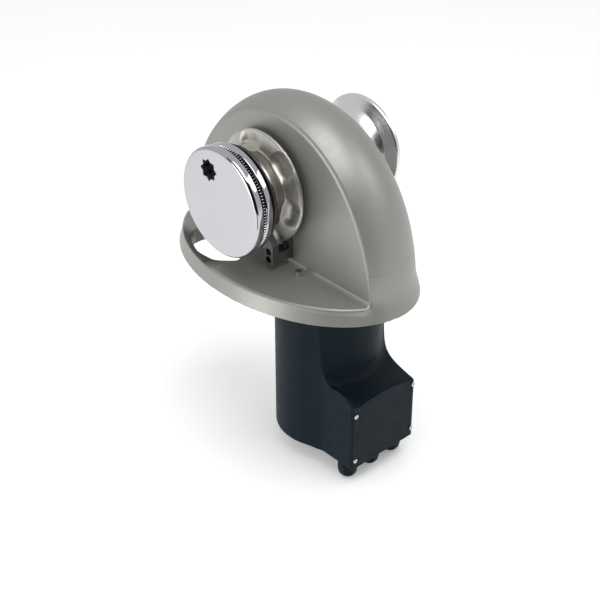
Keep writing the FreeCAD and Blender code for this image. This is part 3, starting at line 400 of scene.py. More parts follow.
def tone(nt, value, stops):
    n = nt.nodes.new("ShaderNodeValToRGB")
    ramp = n.color_ramp
    while len(ramp.elements) < len(stops):
        ramp.elements.new(0.5)
    for el, (p, c) in zip(ramp.elements, stops):
        el.position, el.color = p, (*c, 1.0)
    nt.links.new(value, n.inputs["Fac"])
    return n.outputs["Color"]


def blend_colour(nt, fac, a, b, mode="MIX"):
    n = nt.nodes.new("ShaderNodeMix")
    n.data_type, n.blend_type = "RGBA", mode
    for sock, v in ((n.inputs[0], fac), (n.inputs[6], a), (n.inputs[7], b)):
        if isinstance(v, (int, float)):
            sock.default_value = v
        elif isinstance(v, tuple):
            sock.default_value = (*v, 1.0)
        else:
            nt.links.new(v, sock)
    return n.outputs[2]


def add_bump(nt, sh, height, strength, distance, before=None):
    n = nt.nodes.new("ShaderNodeBump")
    n.inputs["Strength"].default_value = strength
    n.inputs["Distance"].default_value = distance
    nt.links.new(height, n.inputs["Height"])
    if before is not None:
        nt.links.new(before, n.inputs["Normal"])
    nt.links.new(n.outputs["Normal"], sh.inputs["Normal"])
    return n.outputs["Normal"]


def scaled(base, f):
    return tuple(min(1.0, c * f) for c in base)


def stretched(nt, vec, scale):
    n = nt.nodes.new("ShaderNodeMapping")
    n.inputs["Scale"].default_value = scale
    nt.links.new(vec, n.inputs["Vector"])
    return n.outputs["Vector"]


def turned_coords(nt, vec, axis, centre):
    """Coordinates (along the axis, distance from it, 0) for lathe lines and ring patterns."""
    sub = nt.nodes.new("ShaderNodeVectorMath"); sub.operation = "SUBTRACT"
    sub.inputs[1].default_value = centre
    nt.links.new(vec, sub.inputs[0])
    sep = nt.nodes.new("ShaderNodeSeparateXYZ")
    nt.links.new(sub.outputs["Vector"], sep.inputs["Vector"])
    keep = "XYZ"["xyz".index(axis)]
    others = [c for c in "XYZ" if c != keep]
    flat = nt.nodes.new("ShaderNodeCombineXYZ")
    nt.links.new(sep.outputs[others[0]], flat.inputs["X"])
    nt.links.new(sep.outputs[others[1]], flat.inputs["Y"])
    length = nt.nodes.new("ShaderNodeVectorMath"); length.operation = "LENGTH"
    nt.links.new(flat.outputs["Vector"], length.inputs[0])
    out = nt.nodes.new("ShaderNodeCombineXYZ")
    nt.links.new(sep.outputs[keep], out.inputs["X"])
    nt.links.new(length.outputs["Value"], out.inputs["Y"])
    return out.outputs["Vector"], length.outputs["Value"]


def satin_metal(name, base, rough=(0.36, 0.46), grain=1400.0, bump=0.25, depth=0.00006, cloud=9.0, vary=0.05, metallic=1.0, wear=0.12):
    mat, nt, sh, vec = new_material(name, base, metallic, rough[0])
    big = noise(nt, vec, cloud, 4.0, 0.6)
    fine = noise(nt, vec, grain, 2.0, 0.6)
    mid = noise(nt, vec, grain * 0.12, 3.0, 0.6)
    col = tone(nt, big, [(0.30, scaled(base, 1 - vary)), (0.70, scaled(base, 1 + vary))])
    speck = tone(nt, fine, [(0.25, (0.90, 0.90, 0.90)), (0.75, (1.0, 1.0, 1.0))])
    col = blend_colour(nt, 1.0, col, speck, "MULTIPLY")
    geo = nt.nodes.new("ShaderNodeNewGeometry")
    edge = spread(nt, geo.outputs["Pointiness"], 0.515, 0.60, 0.0, wear)
    col = blend_colour(nt, edge, col, scaled(base, 1.5))
    nt.links.new(col, sh.inputs["Base Color"])
    nt.links.new(spread(nt, mid, 0.3, 0.7, rough[0], rough[1]), sh.inputs["Roughness"])
    add_bump(nt, sh, fine, bump, depth)
    return mat


def polished_metal(name, base, rough=(0.04, 0.08), ripple=18.0, ripple_depth=0.00004, scratch=0.02, cloud=0.02):
    mat, nt, sh, vec = new_material(name, base, 1.0, rough[0])
    haze = noise(nt, vec, 60.0, 5.0, 0.65)
    lines = noise(nt, stretched(nt, vec, (900.0, 140.0, 140.0)), 6.0, 4.0, 0.7)
    nt.links.new(spread(nt, haze, 0.35, 0.75, rough[0], rough[1]), sh.inputs["Roughness"])
    nt.links.new(tone(nt, noise(nt, vec, 14.0, 3.0), [(0.3, scaled(base, 1 - cloud)), (0.7, scaled(base, 1 + cloud))]), sh.inputs["Base Color"])
    first = add_bump(nt, sh, noise(nt, vec, ripple, 1.0, 0.4), 1.0, ripple_depth)
    add_bump(nt, sh, lines, scratch, 0.00002, first)
    return mat


def turned_metal(name, base, axis, centre, rough=(0.18, 0.34), lines=2600.0, bump=0.25, depth=0.00004, metallic=1.0):
    mat, nt, sh, vec = new_material(name, base, metallic, rough[0])
    ring, _ = turned_coords(nt, vec, axis, centre)
    groove = noise(nt, ring, lines, 3.0, 0.7)
    nt.links.new(tone(nt, groove, [(0.3, scaled(base, 0.86)), (0.7, scaled(base, 1.06))]), sh.inputs["Base Color"])
    nt.links.new(spread(nt, noise(nt, vec, 160.0, 4.0), 0.3, 0.7, rough[0], rough[1]), sh.inputs["Roughness"])
    add_bump(nt, sh, groove, bump, depth)
    return mat


def moulded(name, base, rough=(0.42, 0.56), grain=2600.0, bump=0.35, depth=0.00008, sheen=(1.0, 1.0), spec=0.45, vary=0.12):
    mat, nt, sh, vec = new_material(name, base, 0.0, rough[0], spec)
    cells = nt.nodes.new("ShaderNodeTexVoronoi")
    cells.inputs["Scale"].default_value = grain * 0.55
    nt.links.new(vec, cells.inputs["Vector"])
    fine = noise(nt, vec, grain, 2.0, 0.5)
    grainy = nt.nodes.new("ShaderNodeMath"); grainy.operation = "ADD"
    nt.links.new(fine, grainy.inputs[0]); nt.links.new(cells.outputs["Distance"], grainy.inputs[1])
    big = noise(nt, vec, 16.0, 5.0, 0.6)
    nt.links.new(tone(nt, big, [(0.3, scaled(base, 1 - vary)), (0.72, scaled(base, 1 + vary))]), sh.inputs["Base Color"])
    nt.links.new(spread(nt, noise(nt, vec, 95.0, 4.0), 0.3, 0.7, rough[0], rough[1]), sh.inputs["Roughness"])
    add_bump(nt, sh, grainy.outputs[0], bump, depth)
    return mat


def housing_metal():
    """Satin grey casting: fine grain, faint clouds, and painted shade and reflection darkening the floor beside the
    chain hole.
    """
    base = (0.300, 0.298, 0.278)
    mat, nt, sh, vec = new_material("housing_satin", base, 0.52, 0.40)
    big = noise(nt, vec, 9.0, 4.0, 0.6)
    fine = noise(nt, vec, 1500.0, 2.0, 0.6)
    mid = noise(nt, vec, 180.0, 3.0, 0.6)
    col = tone(nt, big, [(0.30, scaled(base, 0.955)), (0.70, scaled(base, 1.045))])
    col = blend_colour(nt, 1.0, col, tone(nt, fine, [(0.25, (0.91, 0.91, 0.91)), (0.75, (1.0, 1.0, 1.0))]), "MULTIPLY")
    sep = nt.nodes.new("ShaderNodeSeparateXYZ")
    nt.links.new(vec, sep.inputs["Vector"])
    ring = nt.nodes.new("ShaderNodeVectorMath"); ring.operation = "LENGTH"
    nt.links.new(stretched(nt, vec, (1 / 0.1035, 1 / 0.1525, 0.0)), ring.inputs[0])
    inside = spread(nt, ring.outputs["Value"], 0.93, 0.96, 1.0, 0.0)
    top = spread(nt, sep.outputs["Z"], 0.0158, 0.0172, 0.0, 1.0)
    either = nt.nodes.new("ShaderNodeMath"); either.operation = "MAXIMUM"
    nt.links.new(inside, either.inputs[0]); nt.links.new(top, either.inputs[1])
    # painted shade and reflection: the floor beside the chain hole, left of x -62 mm and past y 22 mm, is mixed
    # towards near black
    masks = [either.outputs[0], spread(nt, sep.outputs["X"], -0.074, -0.062, 1.0, 0.0),
             spread(nt, sep.outputs["Y"], 0.022, 0.040, 0.0, 1.0), spread(nt, sep.outputs["Z"], 0.0002, 0.0012, 0.0, 1.0),
             spread(nt, mid, 0.2, 0.6, 0.80, 1.0)]
    painted_shade_mask = masks[0]
    for m in masks[1:]:
        times = nt.nodes.new("ShaderNodeMath"); times.operation = "MULTIPLY"
        nt.links.new(painted_shade_mask, times.inputs[0]); nt.links.new(m, times.inputs[1])
        painted_shade_mask = times.outputs[0]
    # the painted shade and reflection mixed into the casting colour
    col = blend_colour(nt, painted_shade_mask, col, (0.052, 0.052, 0.050))
    nt.links.new(col, sh.inputs["Base Color"])
    nt.links.new(spread(nt, mid, 0.3, 0.7, 0.37, 0.44), sh.inputs["Roughness"])
    add_bump(nt, sh, fine, 0.20, 0.00005)
    return mat


def gypsy_metal():
    """Satin nickel on the cast pockets and flanges, with painted shade darkening the front of the wheel."""
    mat, nt, sh, vec = new_material("gypsy_nickel", (0.60, 0.58, 0.53), 0.9, 0.3)
    big = noise(nt, vec, 42.0, 5.0, 0.62)
    fine = noise(nt, vec, 420.0, 3.0, 0.6)
    col = tone(nt, big, [(0.28, (0.43, 0.415, 0.375)), (0.55, (0.53, 0.515, 0.472)), (0.78, (0.63, 0.62, 0.58))])
    sep = nt.nodes.new("ShaderNodeSeparateXYZ")
    nt.links.new(vec, sep.inputs["Vector"])
    # painted shade and reflection: the front of the wheel, ahead of x -60 mm, is mixed towards near black
    front = spread(nt, sep.outputs["X"], -0.0635, -0.0600, 1.0, 0.0)
    col = blend_colour(nt, front, col, (0.075, 0.072, 0.066))
    nt.links.new(col, sh.inputs["Base Color"])
    nt.links.new(spread(nt, noise(nt, vec, 90.0, 4.0), 0.3, 0.7, 0.34, 0.50), sh.inputs["Roughness"])
    first = add_bump(nt, sh, big, 0.35, 0.0005)
    add_bump(nt, sh, fine, 0.25, 0.00014, first)
    return mat


SHAFT_C = (0.0, AX_Y * MM, AX_Z * MM)
MOTOR_C = (MO_X * MM, MO_Y * MM, 0.0)
M = {}
M["housing_satin"] = housing_metal()
M["cast_aluminium"] = satin_metal("cast_aluminium", (0.60, 0.60, 0.585), (0.32, 0.5), 700.0, 0.35, 0.00008, vary=0.08)
M["chrome"] = polished_metal("chrome", (0.515, 0.52, 0.54))
M["drum_chrome"] = polished_metal("drum_chrome", (0.78, 0.785, 0.79), (0.24, 0.31))
M["gypsy_nickel"] = gypsy_metal()
M["dark_steel"] = satin_metal("dark_steel", (0.15, 0.15, 0.15), (0.30, 0.44), 900.0, 0.25, 0.00006, metallic=0.9, wear=0.5)
M["stainless"] = turned_metal("stainless", (0.60, 0.60, 0.595), "x", SHAFT_C, (0.16, 0.30), 1800.0, 0.16)
M["stainless_motor"] = turned_metal("stainless_motor", (0.62, 0.62, 0.61), "z", MOTOR_C, (0.16, 0.30), 1400.0, 0.14)
M["steel"] = turned_metal("steel", (0.50, 0.50, 0.515), "x", SHAFT_C, (0.14, 0.28))
M["steel_motor"] = turned_metal("steel_motor", (0.50, 0.50, 0.515), "z", MOTOR_C, (0.14, 0.28))
M["bronze"] = turned_metal("bronze", (0.60, 0.42, 0.20), "x", SHAFT_C, (0.22, 0.38))
M["copper"] = turned_metal("copper", (0.68, 0.34, 0.19), "z", MOTOR_C, (0.25, 0.42), 5200.0, 0.5, 0.0001)
M["rubber"] = moulded("rubber", (0.018, 0.018, 0.019), (0.55, 0.72), 1800.0, 0.3, 0.00006, spec=0.35)
M["casing_plastic"] = moulded("casing_plastic", (0.0036, 0.0098, 0.0152), (0.44, 0.55), 2600.0, 0.30, 0.00007, spec=0.10)
M["inner_plastic"] = moulded("inner_plastic", (0.17, 0.12, 0.07), (0.45, 0.6), 900.0, 0.3, 0.00008)
M["carbon"] = moulded("carbon", (0.03, 0.03, 0.03), (0.5, 0.7), 3000.0, 0.3, 0.00005)
M["iron"] = turned_metal("iron", (0.11, 0.11, 0.12), "z", MOTOR_C, (0.35, 0.5), 3200.0, 0.4, 0.00008)
M["ferrite"] = moulded("ferrite", (0.06, 0.06, 0.062), (0.5, 0.65), 1500.0, 0.4, 0.0001)

MOTOR_SIDE = {"through_bolts", "flange_screws", "casing_screws", "worm_shaft", "rotor_shaft", "worm_outer_races", "worm_inner_races",
              "worm_balls", "motor_outer_races", "motor_inner_races", "motor_balls", "coupling_sleeve", "coupling_pins", "base_screws",
              "floor_screw"}
slot_of = {p["node"]: p["material_slot"] for p in frame["record"]["subparts"]}
for node, obj in frame["nodes"].items():
    slot = slot_of[node]
    key = slot + "_motor" if node in MOTOR_SIDE and slot + "_motor" in M else slot
    obj.data.materials.clear()
    obj.data.materials.append(M[key])

# ------------------------------------------------------------------ housing casting
HOLE = [(-89.3, 64.1), (-89.9, 56.5), (-89.8, 49.6), (-88.8, 37.6), (-84.3, 30.6), (-78.0, 24.4), (-71.3, 18.6), (-66.5, 19.5), (-61.0, 26.0), (-54.0, 36.0),
        (-45.0, 42.0), (-37.0, 46.0), (-37.0, 86.0), (-42.0, 96.0), (-53.0, 101.0), (-64.0, 100.5), (-74.5, 94.5),
        (-83.0, 80.0)]
hole_outline = Outline(rounded([(x, y, 7.0) for x, y in HOLE]), 0.4, 12.0)
BASE_SCREWS = [(-21.0, 36.0), (44.0, 36.0), (-21.0, -84.0), (52.0, -88.0)]


def housing_form(x, y, z):
    dome = ellipsoid_d(x, y, z - 6.4, 95.0, 151.0, 185.5)
    lean = 4.8 * np.clip(z, -2, 30) / 16.2
    # on the drum side the dome runs down into the foot in one sweep
    sweep = smoothstep(-42.0, -29.0, x)
    level = np.sqrt(1.0 - (np.clip(z - 6.4, 0.0, 120.0) / 185.5) ** 2)
    flare = 4.0 * np.log1p(np.exp(np.clip((18.0 - z) / 4.0, -20.0, 20.0))) / 18.0
    drum_x = 95.0 * level + 3.0 * flare
    half_x = np.where(x < 0, (109.0 - lean) * (1.0 - sweep) + (drum_x + 11.0 * np.clip((18.0 - z) / 18.0, 0.0, 1.0) ** 1.6) * sweep, drum_x)
    half_y = (158.0 - lean) * (1.0 - sweep) + (151.0 * level + 7.0 * flare) * sweep
    side = ellipse_d(x, y, half_x, half_y) * 0.96
    lift = 9.0 * (1 - smoothstep(-34.3, -30.8, x)) + 9.0 * smoothstep(57.6, 61.0, x) + 34.0 * sweep
    base = iround(side, z - 18.0 - lift, 2.2)
    r = 0.3 + (0.7 + 8.0 * smoothstep(3.0, 16.0, z)) * (1.0 - sweep)
    whole = uround(dome, base, r)
    gypsy_step = uround(-31.3 - x, z - 18.0, 4.0)
    drum_step = uround(x - 58.0, z - 18.0, 3.0)
    h = iround(whole, gypsy_step, 2.9)
    h = iround(h, drum_step, 2.0)
    h = iround(h, -z, 0.6)
    hole = np.maximum(hole_outline(x, y), z - 33.0)
    h = iround(h, -hole, 1.2)
    h = iround(h, -rod_x(x, y, z, AX_Y, AX_Z, 46.0, 50.0, 80.0), 0.5)
    h = iround(h, -rod_x(x, y, z, AX_Y, AX_Z, 20.1, -50.0, -23.3), 0.5)
    left = x < 0
    groove = np.maximum(np.maximum(ellipse_d(x, y, np.where(left, 104.5, 93.5), 153.5), -ellipse_d(x, y, np.where(left, 101.0, 90.0), 150.0)), z - 2.2)
    h = np.maximum(h, -groove)
    ring = np.hypot(x - MO_X, y - MO_Y)
    h = np.maximum(h, -np.maximum(np.abs(ring - 61.6) - 0.6, z - 0.8))
    for sx in (-52.0, 52.0):
        for sy in (-112.0, 112.0):
            h = iround(h, -rod_z(x, y, z, sx, sy, 3.4, -9.0, 14.0), 0.4)
    for bx, by in BASE_SCREWS:
        h = iround(h, -rod_z(x, y, z, bx, by, 5.2, -9.0, 6.5), 0.4)
        h = np.maximum(h, -rod_z(x, y, z, bx, by, 3.2, -9.0, 31.0))
    # inside: the shell ends, the gear chamber and its bores
    inner = np.maximum(ellipsoid_d(x, y, z - 6.4, 88.5, 144.5, 179.0), np.maximum(-24.3 - x, x - 51.0))
    inner = np.maximum(inner, 18.5 - z)
    inner = np.maximum(inner, -np.maximum(-92.0 - y, y - 47.0))
    cavity = np.minimum(inner, rod_x(x, y, z, AX_Y, AX_Z, 35.0, -5.0, 64.0))
    cavity = np.minimum(cavity, rod_x(x, y, z, AX_Y, AX_Z, 26.0, -24.0, 1.0))
    cavity = np.minimum(cavity, rod_z(x, y, z, MO_X, MO_Y, 24.0, -9.0, 48.0))
    cavity = np.minimum(cavity, rod_z(x, y, z, MO_X, MO_Y, 17.5, 40.0, 129.0))
    cavity = np.minimum(cavity, rod_x(x, y, z, 40.0, 40.0, 5.0, 43.0, 70.0))
    return np.maximum(h, -cavity)


v, q, n = surface(housing_form,
                  graded(-111.0, 111.5, 1.7, [(-92, -36, 1.1), (-36.0, -27.0, 0.6), (53.0, 62.0, 0.7)]),
                  graded(-160.5, 161.0, 1.6, [(8, 104, 1.25)]),
                  graded(-1.2, 194.0, 1.7, [(-2.0, 3.2, 0.4), (13.0, 24.5, 0.6), (24.5, 34, 1.0)]))
housing = mesh_object("housing_casting", v, q, M["housing_satin"], n)
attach(housing, "root")
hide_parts("housing", "base_plate")

# ------------------------------------------------------------------ chain gypsy
gypsy_outline = Outline(rounded([(-39, 36, .4), (-39, 61, 1.2), (-40, 62, 1.2), (-42, 62, 1.2), (-43.5, 60.5, 1.4), (-48.5, 46, 3), (-50.3, 44.5, 1.4),
                                 (-50.3, 33, 4.6), (-60.7, 33, 4.6), (-60.7, 44.5, 1.4), (-62.5, 46, 3), (-67.5, 54, 1.6), (-69, 55, 1.2),
                                 (-71, 55, 1.2), (-72, 54, 1.2), (-72, 36, .4), (-65, 31, .4), (-65, 19, .4), (-46, 19, .4), (-46, 31, .4)]), 0.2, 5.0)


def gypsy_form(x, y, z):
    py, pz = y - AX_Y, z - AX_Z
    r = np.hypot(py, pz)
    g = gypsy_outline(x, r)
    t = np.arctan2(pz, py) - math.radians(15.0)
    t = (t + math.pi / 6) % (math.pi / 3) - math.pi / 6
    u, w = r * np.sin(t), r * np.cos(t)
    stadium = np.hypot(np.maximum(np.abs(u) - 5.6, 0), x + 55.5) - 13.4
    pocket = iround(stadium, 42.0 - w, 8.5)
    return iround(g, -pocket, 2.6)


v, q, n = surface(gypsy_form, graded(-74.0, -37.0, 0.7, []), graded(-54.5, 74.5, 0.95, []), graded(35.5, 164.5, 0.95, []))
gypsy = mesh_object("gypsy_wheel", v, q, M["gypsy_nickel"], n)
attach(gypsy, "gypsy")
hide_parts("gypsy")

# ------------------------------------------------------------------ outer clutch cone
cone = lathe("clutch_cone", rounded([(-61, 12.06, .4), (-61, 18.5, .5), (-65.4, 18.5, .5), (-65.4, 30.9, .5), (-72.3, 35.9, .4), (-77.0, 36, .5),
                                     (-77.0, 57.5, .8), (-78.0, 58.5, 1.0), (-83.9, 58.5, 1.2), (-85.2, 57.0, .8), (-85.2, 51, .8),
                                     (-82, 46, .8), (-82, 21, .5), (-79.5, 20, .5), (-79.5, 12.06, .4)]), M["chrome"], segments=256)
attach(cone, "outer_cone")
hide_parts("outer_cone")

# ------------------------------------------------------------------ clutch cap
def star(half, turn, cy, cz, n_sq=2):
    """Outline of two squares turned against each other, corner by corner."""
    pts = []
    for k in range(16):
        a = math.radians(22.5 * k) + turn
        r = half * math.sqrt(2) if k % 2 == 0 else half / math.cos(math.radians(22.5))
        pts.append((cy + r * math.cos(a), cz + r * math.sin(a)))
    return pts


KNURLS = 116


def knurl(a, r, t):
    if -90.3 < a < -85.8 and r > 57.0:
        wave = 0.5 + 0.5 * math.cos(KNURLS * t)
        return r - 1.9 * (1.0 - wave ** 1.6)
    return r


def make_cap():
    pts = rounded([(-99.8, 48.0), (-99.8, 59.8, 3.5), (-91.0, 59.8, 0.9), (-90.3, 56.9, 0.2), (-89.8, 57.1, 0.3), (-89.0, 58.9, 0.4), (-87.0, 58.9, 0.4), (-86.1, 57.1, 0.3), (-85.9, 56.6, 0.2), (-85.9, 53, 0.6),
                   (-92.5, 49.5, 1.0), (-92.5, 21, 1.0), (-79.8, 18, .6), (-79.8, 10.06, .3), (-95.6, 10.06, .3), (-95.6, 0.0)], 9.0)
    # the outline runs from the face's inner ring to the shaft bore; the face itself is filled round the socket
    start = int(np.argmin(np.hypot(pts[:, 0] + 99.8, pts[:, 1] - 48.0)))
    pts = np.roll(pts, -start, axis=0)
    segments = KNURLS * 6
    obj = lathe("clutch_cap_body", pts, [M["chrome"], M["knurl"], M["socket"]], segments=segments, band=knurl, closed=False,
                mat_of=lambda a, r: 1 if -90.6 < a < -85.8 and r > 55.5 else 0, sharp=34.0)
    bm = bmesh.new()
    bm.from_mesh(obj.data)
    ring = [e for e in bm.edges if e.is_boundary and all(abs(vv.co.x + 0.0998) < 1e-6 for vv in e.verts)]
    outer = star(17.5 / 2, 0.0, AX_Y + 14.7, AX_Z + 32.7)
    levels = [(-99.8, 1.045), (-99.5, 1.012), (-98.9, 1.0), (-88.8, 1.0)]
    rows = []
    for x, f in levels:
        row = []
        for py, pz in outer:
            row.append(bm.verts.new((x * MM, (AX_Y + 14.7 + (py - AX_Y - 14.7) * f) * MM, (AX_Z + 32.7 + (pz - AX_Z - 32.7) * f) * MM)))
        rows.append(row)
    for a, b in zip(rows, rows[1:]):
        for k in range(16):
            bm.faces.new((a[k], a[(k + 1) % 16], b[(k + 1) % 16], b[k])).material_index = 0 if a is rows[0] else 2
    bm.faces.new(rows[-1]).material_index = 2
    lip = [bm.edges.get((rows[0][k], rows[0][(k + 1) % 16])) for k in range(16)]
    bmesh.ops.triangle_fill(bm, use_beauty=True, use_dissolve=False, edges=ring + lip, normal=(-1, 0, 0))
    bmesh.ops.recalc_face_normals(bm, faces=bm.faces)
    for f in bm.faces:
        f.smooth = True
    bm.to_mesh(obj.data)
    bm.free()
    obj.data.set_sharp_from_angle(angle=math.radians(34.0))
    return obj


def knurl_material():
    mat, nt, sh, vec = new_material("knurl", (0.74, 0.745, 0.76), 1.0, 0.10)
    _, radius = turned_coords(nt, vec, "x", SHAFT_C)
    # painted shade: the knurl grooves below radius 58.1 mm are coloured near black, the crests stay chrome
    groove_shade = spread(nt, radius, 0.0581, 0.0587, 0.0, 1.0)
    nt.links.new(tone(nt, groove_shade, [(0.15, (0.012, 0.012, 0.013)), (0.85, (0.76, 0.765, 0.78))]), sh.inputs["Base Color"])
    nt.links.new(spread(nt, groove_shade, 0.0, 1.0, 0.5, 0.08), sh.inputs["Roughness"])
    add_bump(nt, sh, noise(nt, vec, 700.0, 2.0), 0.12, 0.00004)
    return mat


M["knurl"] = knurl_material()
M["socket"] = satin_metal("socket_dark", (0.045, 0.045, 0.050), (0.42, 0.58), 900.0, 0.3, 0.00006, metallic=0.6, wear=0.3)
cap = make_cap()
cap.name = "clutch_cap_chrome"
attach(cap, "clutch_cap")
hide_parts("clutch_cap")

# ------------------------------------------------------------------ rope drum
drum = lathe("rope_drum", rounded([(62, 12, .4), (62, 49, 1.0), (63, 50, 1.0), (65.5, 50, 1.0), (67, 48.6, 2.5), (70, 43.6, 5), (74, 41, 12), (79, 40, 20),
                                   (85, 40.4, 20), (90, 42.4, 14), (95, 46, 8), (98, 50.4, 6), (101, 56, 3), (102, 57, 1.2), (103, 57.5, 1.5),
                                   (106, 57.5, 1.2), (107, 56.5, 1.2), (107, 50, 1.6), (102, 46, 2.5), (102, 26, 2.5), (105.5, 22, 1.6), (105.5, 16, .8),
                                   (98, 16, .5), (98, 12, .4)], 8.0), M["drum_chrome"], segments=256)
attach(drum, "main_shaft")
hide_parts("drum")

# ------------------------------------------------------------------ motor casing and terminal box
cove_outline = Outline(rounded([(-119.5, -230), (-119.5, -132.4), (-115.7, -131.4, 20), (-108.4, -129.6, 20), (-98.4, -126.9, 20), (-90.5, -124.2, 20),
                                (-85.4, -122, 14), (-80, -118.4, 12), (-75.6, -113.6, 12), (-72.3, -107.5, 12), (-70.2, -101, 16), (-68.6, -92, 30),
                                (-67.6, -82, 40), (-66.9, -70, 40), (-66.5, -40), (-20, -40), (-20, -230)], 6.0), 0.4, 14.0)
BOX_X0, BOX_X1, BOX_Y0 = -29.0, 67.6, -119.5
FLOOR_Z = -212.0


def casing_solid(x, y, z):
    arch = np.where(x > 14.0, 6.6 * (1 - np.clip((x - 14.0) / 50.0, 0, 1.1) ** 2), 6.6 - 2.4 * np.clip((14.0 - x) / 30.0, 0, 1) ** 2)
    ridge = (1 - smoothstep(-29.0, -20.5, x)) * (2.6 + 5.0 * smoothstep(-119.5, -104.0, y)) * (1 - smoothstep(-100.0, -80.0, y))
    cove = cove_outline(y, z - arch - ridge)
    cx, cy = (BOX_X0 + BOX_X1) / 2, (BOX_Y0 - 28.0) / 2
    hx, hy, rr = (BOX_X1 - BOX_X0) / 2 - 2.4, (-28.0 - BOX_Y0) / 2 - 2.4, 2.4
    ax, ay = np.abs(x - cx) - hx, np.abs(y - cy) - hy
    plan = np.hypot(np.maximum(ax, 0), np.maximum(ay, 0)) + np.minimum(np.maximum(ax, ay), 0) - rr
    box = iround(iround(plan, cove, 1.5), FLOOR_Z - z, 1.3)
    can = np.hypot(x - MO_X, y - MO_Y) - 60.2
    can = iround(iround(can, FLOOR_Z - z, 2.2), z + 1.5, 0.9)
    return uround(can, box, 7.0)


def casing_shell(x, y, z):
    c = casing_solid(x, y, z)
    inner = np.minimum(c + 3.0, rod_z(x, y, z, MO_X, MO_Y, 57.2, -208.0, 20.0))
    window = np.maximum(np.maximum(np.abs(x - 19.3) - 38.0, np.abs(z + 173.0) - 30.0), y + 100.0)
    c = iround(c, -116.5 - y, 0.3)
    for bx, by in ((52.9, -47.0), (-12.9, -47.0), (20.0, 10.0)):
        c = iround(c, -rod_z(x, y, z, bx, by, 4.6, -220.0, -207.0), 0.5)
    return np.maximum(c, -np.minimum(inner, window))


v, q, n = surface(casing_shell, graded(-42.0, 82.0, 1.5, [(-32, -18, 1.0), (62, 70, 1.0)]),
                  graded(-118.5, 34.5, 1.5, [(-119, -108, 0.8)]), graded(-213.6, 0.2, 1.8, [(-214, -206, 0.8), (-136, -100, 1.2), (-4, 1, 0.6)]))
casing = mesh_object("motor_casing_shell", v, q, M["casing_plastic"], n)
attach(casing, "root")
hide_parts("motor_casing")


def cover_form(x, y, z):
    c = casing_solid(x, y, z)
    c = iround(c, y + 116.65, 0.4)
    c = iround(c, c * 0 - 119.5 - y, 0.9)
    for bx in (-24.6, 64.6):
        for bz in (-138.5, -200.0):
            c = np.maximum(c, -np.maximum(np.hypot(x - bx, z - bz) - 2.3, np.abs(y + 118) - 6))
    return c


v, q, n = surface(cover_form, graded(-31.0, 70.0, 0.85, []), graded(-120.6, -115.6, 0.4, []), graded(-213.4, -112.0, 0.85, []))
cover = mesh_object("terminal_cover_plate", v, q, M["casing_plastic"], n)
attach(cover, "root")
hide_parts("terminal_cover")


def gasket_form(x, y, z):
    c = np.maximum(casing_solid(x, y, z) + 0.45, np.abs(y + 116.55) - 0.35)
    return np.maximum(c, -np.maximum(np.abs(x - 19.3) - 37.0, np.abs(z + 173.0) - 29.0))


v, q, n = surface(gasket_form, graded(-31.0, 70.0, 1.4, []), graded(-117.6, -115.4, 0.3, []), graded(-213.4, -112.0, 1.4, []), relax=0)
gasket = mesh_object("terminal_gasket", v, q, M["rubber"], n)
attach(gasket, "root")
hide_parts("cover_gasket")

# ------------------------------------------------------------------ cable glands
def hexed(apothem, turn=0.0, top=-1e9, bottom=1e9):
    def f(a, r, t):
        if r < 7.6 or not (top < a < bottom):
            return r
        s = (t + turn + math.pi / 6) % (math.pi / 3) - math.pi / 6
        return min(r, apothem / math.cos(s))
    return f


bodies, nuts = [], []
for i, gx in enumerate((-14.5, 20.0, 54.5)):
    bodies.append(lathe("gland_body_%d" % i, rounded([(-204.2, 5.0, .2), (-204.2, 8.0, .4), (-211.9, 8.0), (-212.0, 11.6, .3), (-217.6, 11.6, 1.2), (-218.5, 10.0, .4),
                                                     (-218.5, 7.5), (-228, 7.5, .3), (-228, 5.0, .2)], 12.0), M["casing_plastic"],
                        axis="z", centre=(gx, -98.0), segments=144, band=hexed(10.3), sharp=30.0))
    nuts.append(lathe("gland_nut_%d" % i, rounded([(-218.7, 7.5), (-218.7, 10.2, .5), (-219.6, 11.4, .6), (-227.0, 11.3, 3.0), (-231.5, 10.2, 3.0), (-234.6, 7.9, 2.2),
                                                   (-235.9, 6.2, .7), (-235.9, 5.0, .5), (-232, 5.0), (-232, 7.5)], 9.0), M["casing_plastic"],
                      axis="z", centre=(gx, -98.0), segments=144, band=hexed(10.1, math.radians(9 + 7 * i)), sharp=30.0))
gland_bodies = join("gland_body_set", bodies)
gland_nuts = join("gland_nut_set", nuts)
for piece, node in ((gland_bodies, "gland_bodies"), (gland_nuts, "gland_nuts")):
    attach(piece, "root")
    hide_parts(node)

# ------------------------------------------------------------------ floor, lights, world
def make_floor():
    mat, nt, sh, vec = new_material("studio_floor", (0.90, 0.90, 0.895), 0.0, 0.75, 0.2)
    sh.inputs["Emission Color"].default_value = (1.0, 1.0, 1.0, 1.0)
    sh.inputs["Emission Strength"].default_value = 0.22
    nt.links.new(tone(nt, noise(nt, vec, 3.0, 2.0), [(0.3, (0.895, 0.895, 0.89)), (0.7, (0.91, 0.91, 0.905))]), sh.inputs["Base Color"])
    bm = bmesh.new()
    bmesh.ops.create_circle(bm, cap_ends=True, segments=96, radius=9.0)
    mesh = bpy.data.meshes.new("studio_floor")
    bm.to_mesh(mesh)
    bm.free()
    obj = link("studio_floor", mesh, [mat])
    obj.location = (0, 0, -0.2372)
    return obj


make_floor()


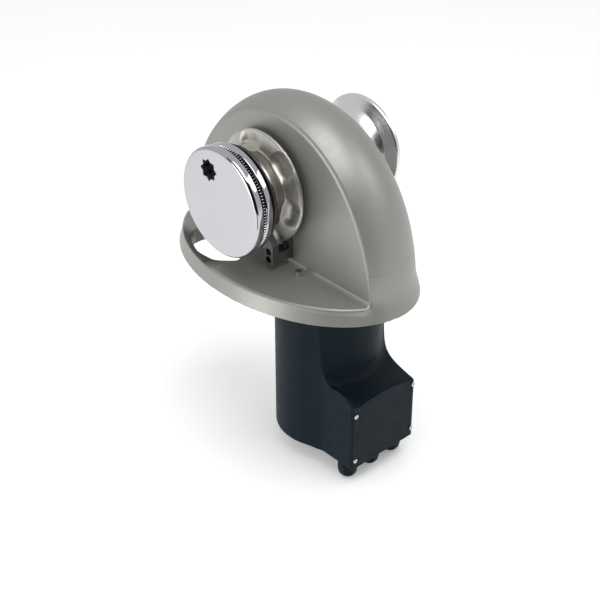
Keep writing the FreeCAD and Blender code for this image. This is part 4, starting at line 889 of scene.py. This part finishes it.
def area_light(name, place, target, size_x, size_y, radiance, colour=(1, 1, 1)):
    data = bpy.data.lights.new(name, "AREA")
    data.shape, data.size, data.size_y = "RECTANGLE", size_x, size_y
    data.energy = radiance * math.pi * size_x * size_y
    data.color = colour
    obj = bpy.data.objects.new(name, data)
    bpy.context.scene.collection.objects.link(obj)
    obj.location = place
    obj.rotation_euler = (Vector(target) - Vector(place)).to_track_quat("-Z", "Y").to_euler()
    return obj


area_light("key_top", (-0.15, -0.55, 1.75), (0, 0, 0.05), 1.4, 1.4, 3.4)
area_light("fill_left", (-1.45, 0.30, 0.20), (0, 0, 0.05), 0.6, 0.8, 4.5)
gleam = area_light("gleam_right", (1.0, -0.95, 1.12), (0, 0, 0.1), 0.75, 0.75, 2.2)
gleam.visible_diffuse = False


def make_flag():
    """Dark studio flag, bent round the front left of the object: only mirrored surfaces show it."""
    mat, nt, sh, vec = new_material("flag_black", (0.01, 0.01, 0.01), 0.0, 0.9, 0.1)
    nt.links.new(tone(nt, noise(nt, vec, 8.0, 3.0), [(0.3, (0.008, 0.008, 0.009)), (0.7, (0.013, 0.013, 0.013))]), sh.inputs["Base Color"])
    bm = bmesh.new()
    for start, end, low, high in ((150.0, 186.0, 0.62, 1.75), (186.0, 274.0, -0.20, 1.60), (212.0, 232.0, -0.2362, -0.2362)):
        rows = []
        for k in range(17):
            a = math.radians(start + (end - start) * k / 16)
            near = 1.35 if high > low else 0.52
            rows.append([bm.verts.new((d * math.cos(a), d * math.sin(a), h)) for d, h in ((near, high), (1.35, low))])
        for p, q in zip(rows, rows[1:]):
            bm.faces.new((p[0], q[0], q[1], p[1]))
    mesh = bpy.data.meshes.new("studio_flag")
    bm.to_mesh(mesh)
    bm.free()
    obj = link("studio_flag", mesh, [mat])
    obj.visible_camera = obj.visible_diffuse = obj.visible_shadow = obj.visible_transmission = False


make_flag()


def make_world():
    world = bpy.data.worlds.new("studio")
    bpy.context.scene.world = world
    world.use_nodes = True
    nt = world.node_tree
    nt.nodes.clear()
    out = nt.nodes.new("ShaderNodeOutputWorld")
    back = nt.nodes.new("ShaderNodeBackground")
    back.inputs["Color"].default_value = (0.98, 0.99, 1.0, 1.0)
    back.inputs["Strength"].default_value = 0.66
    nt.links.new(back.outputs[0], out.inputs[0])


make_world()
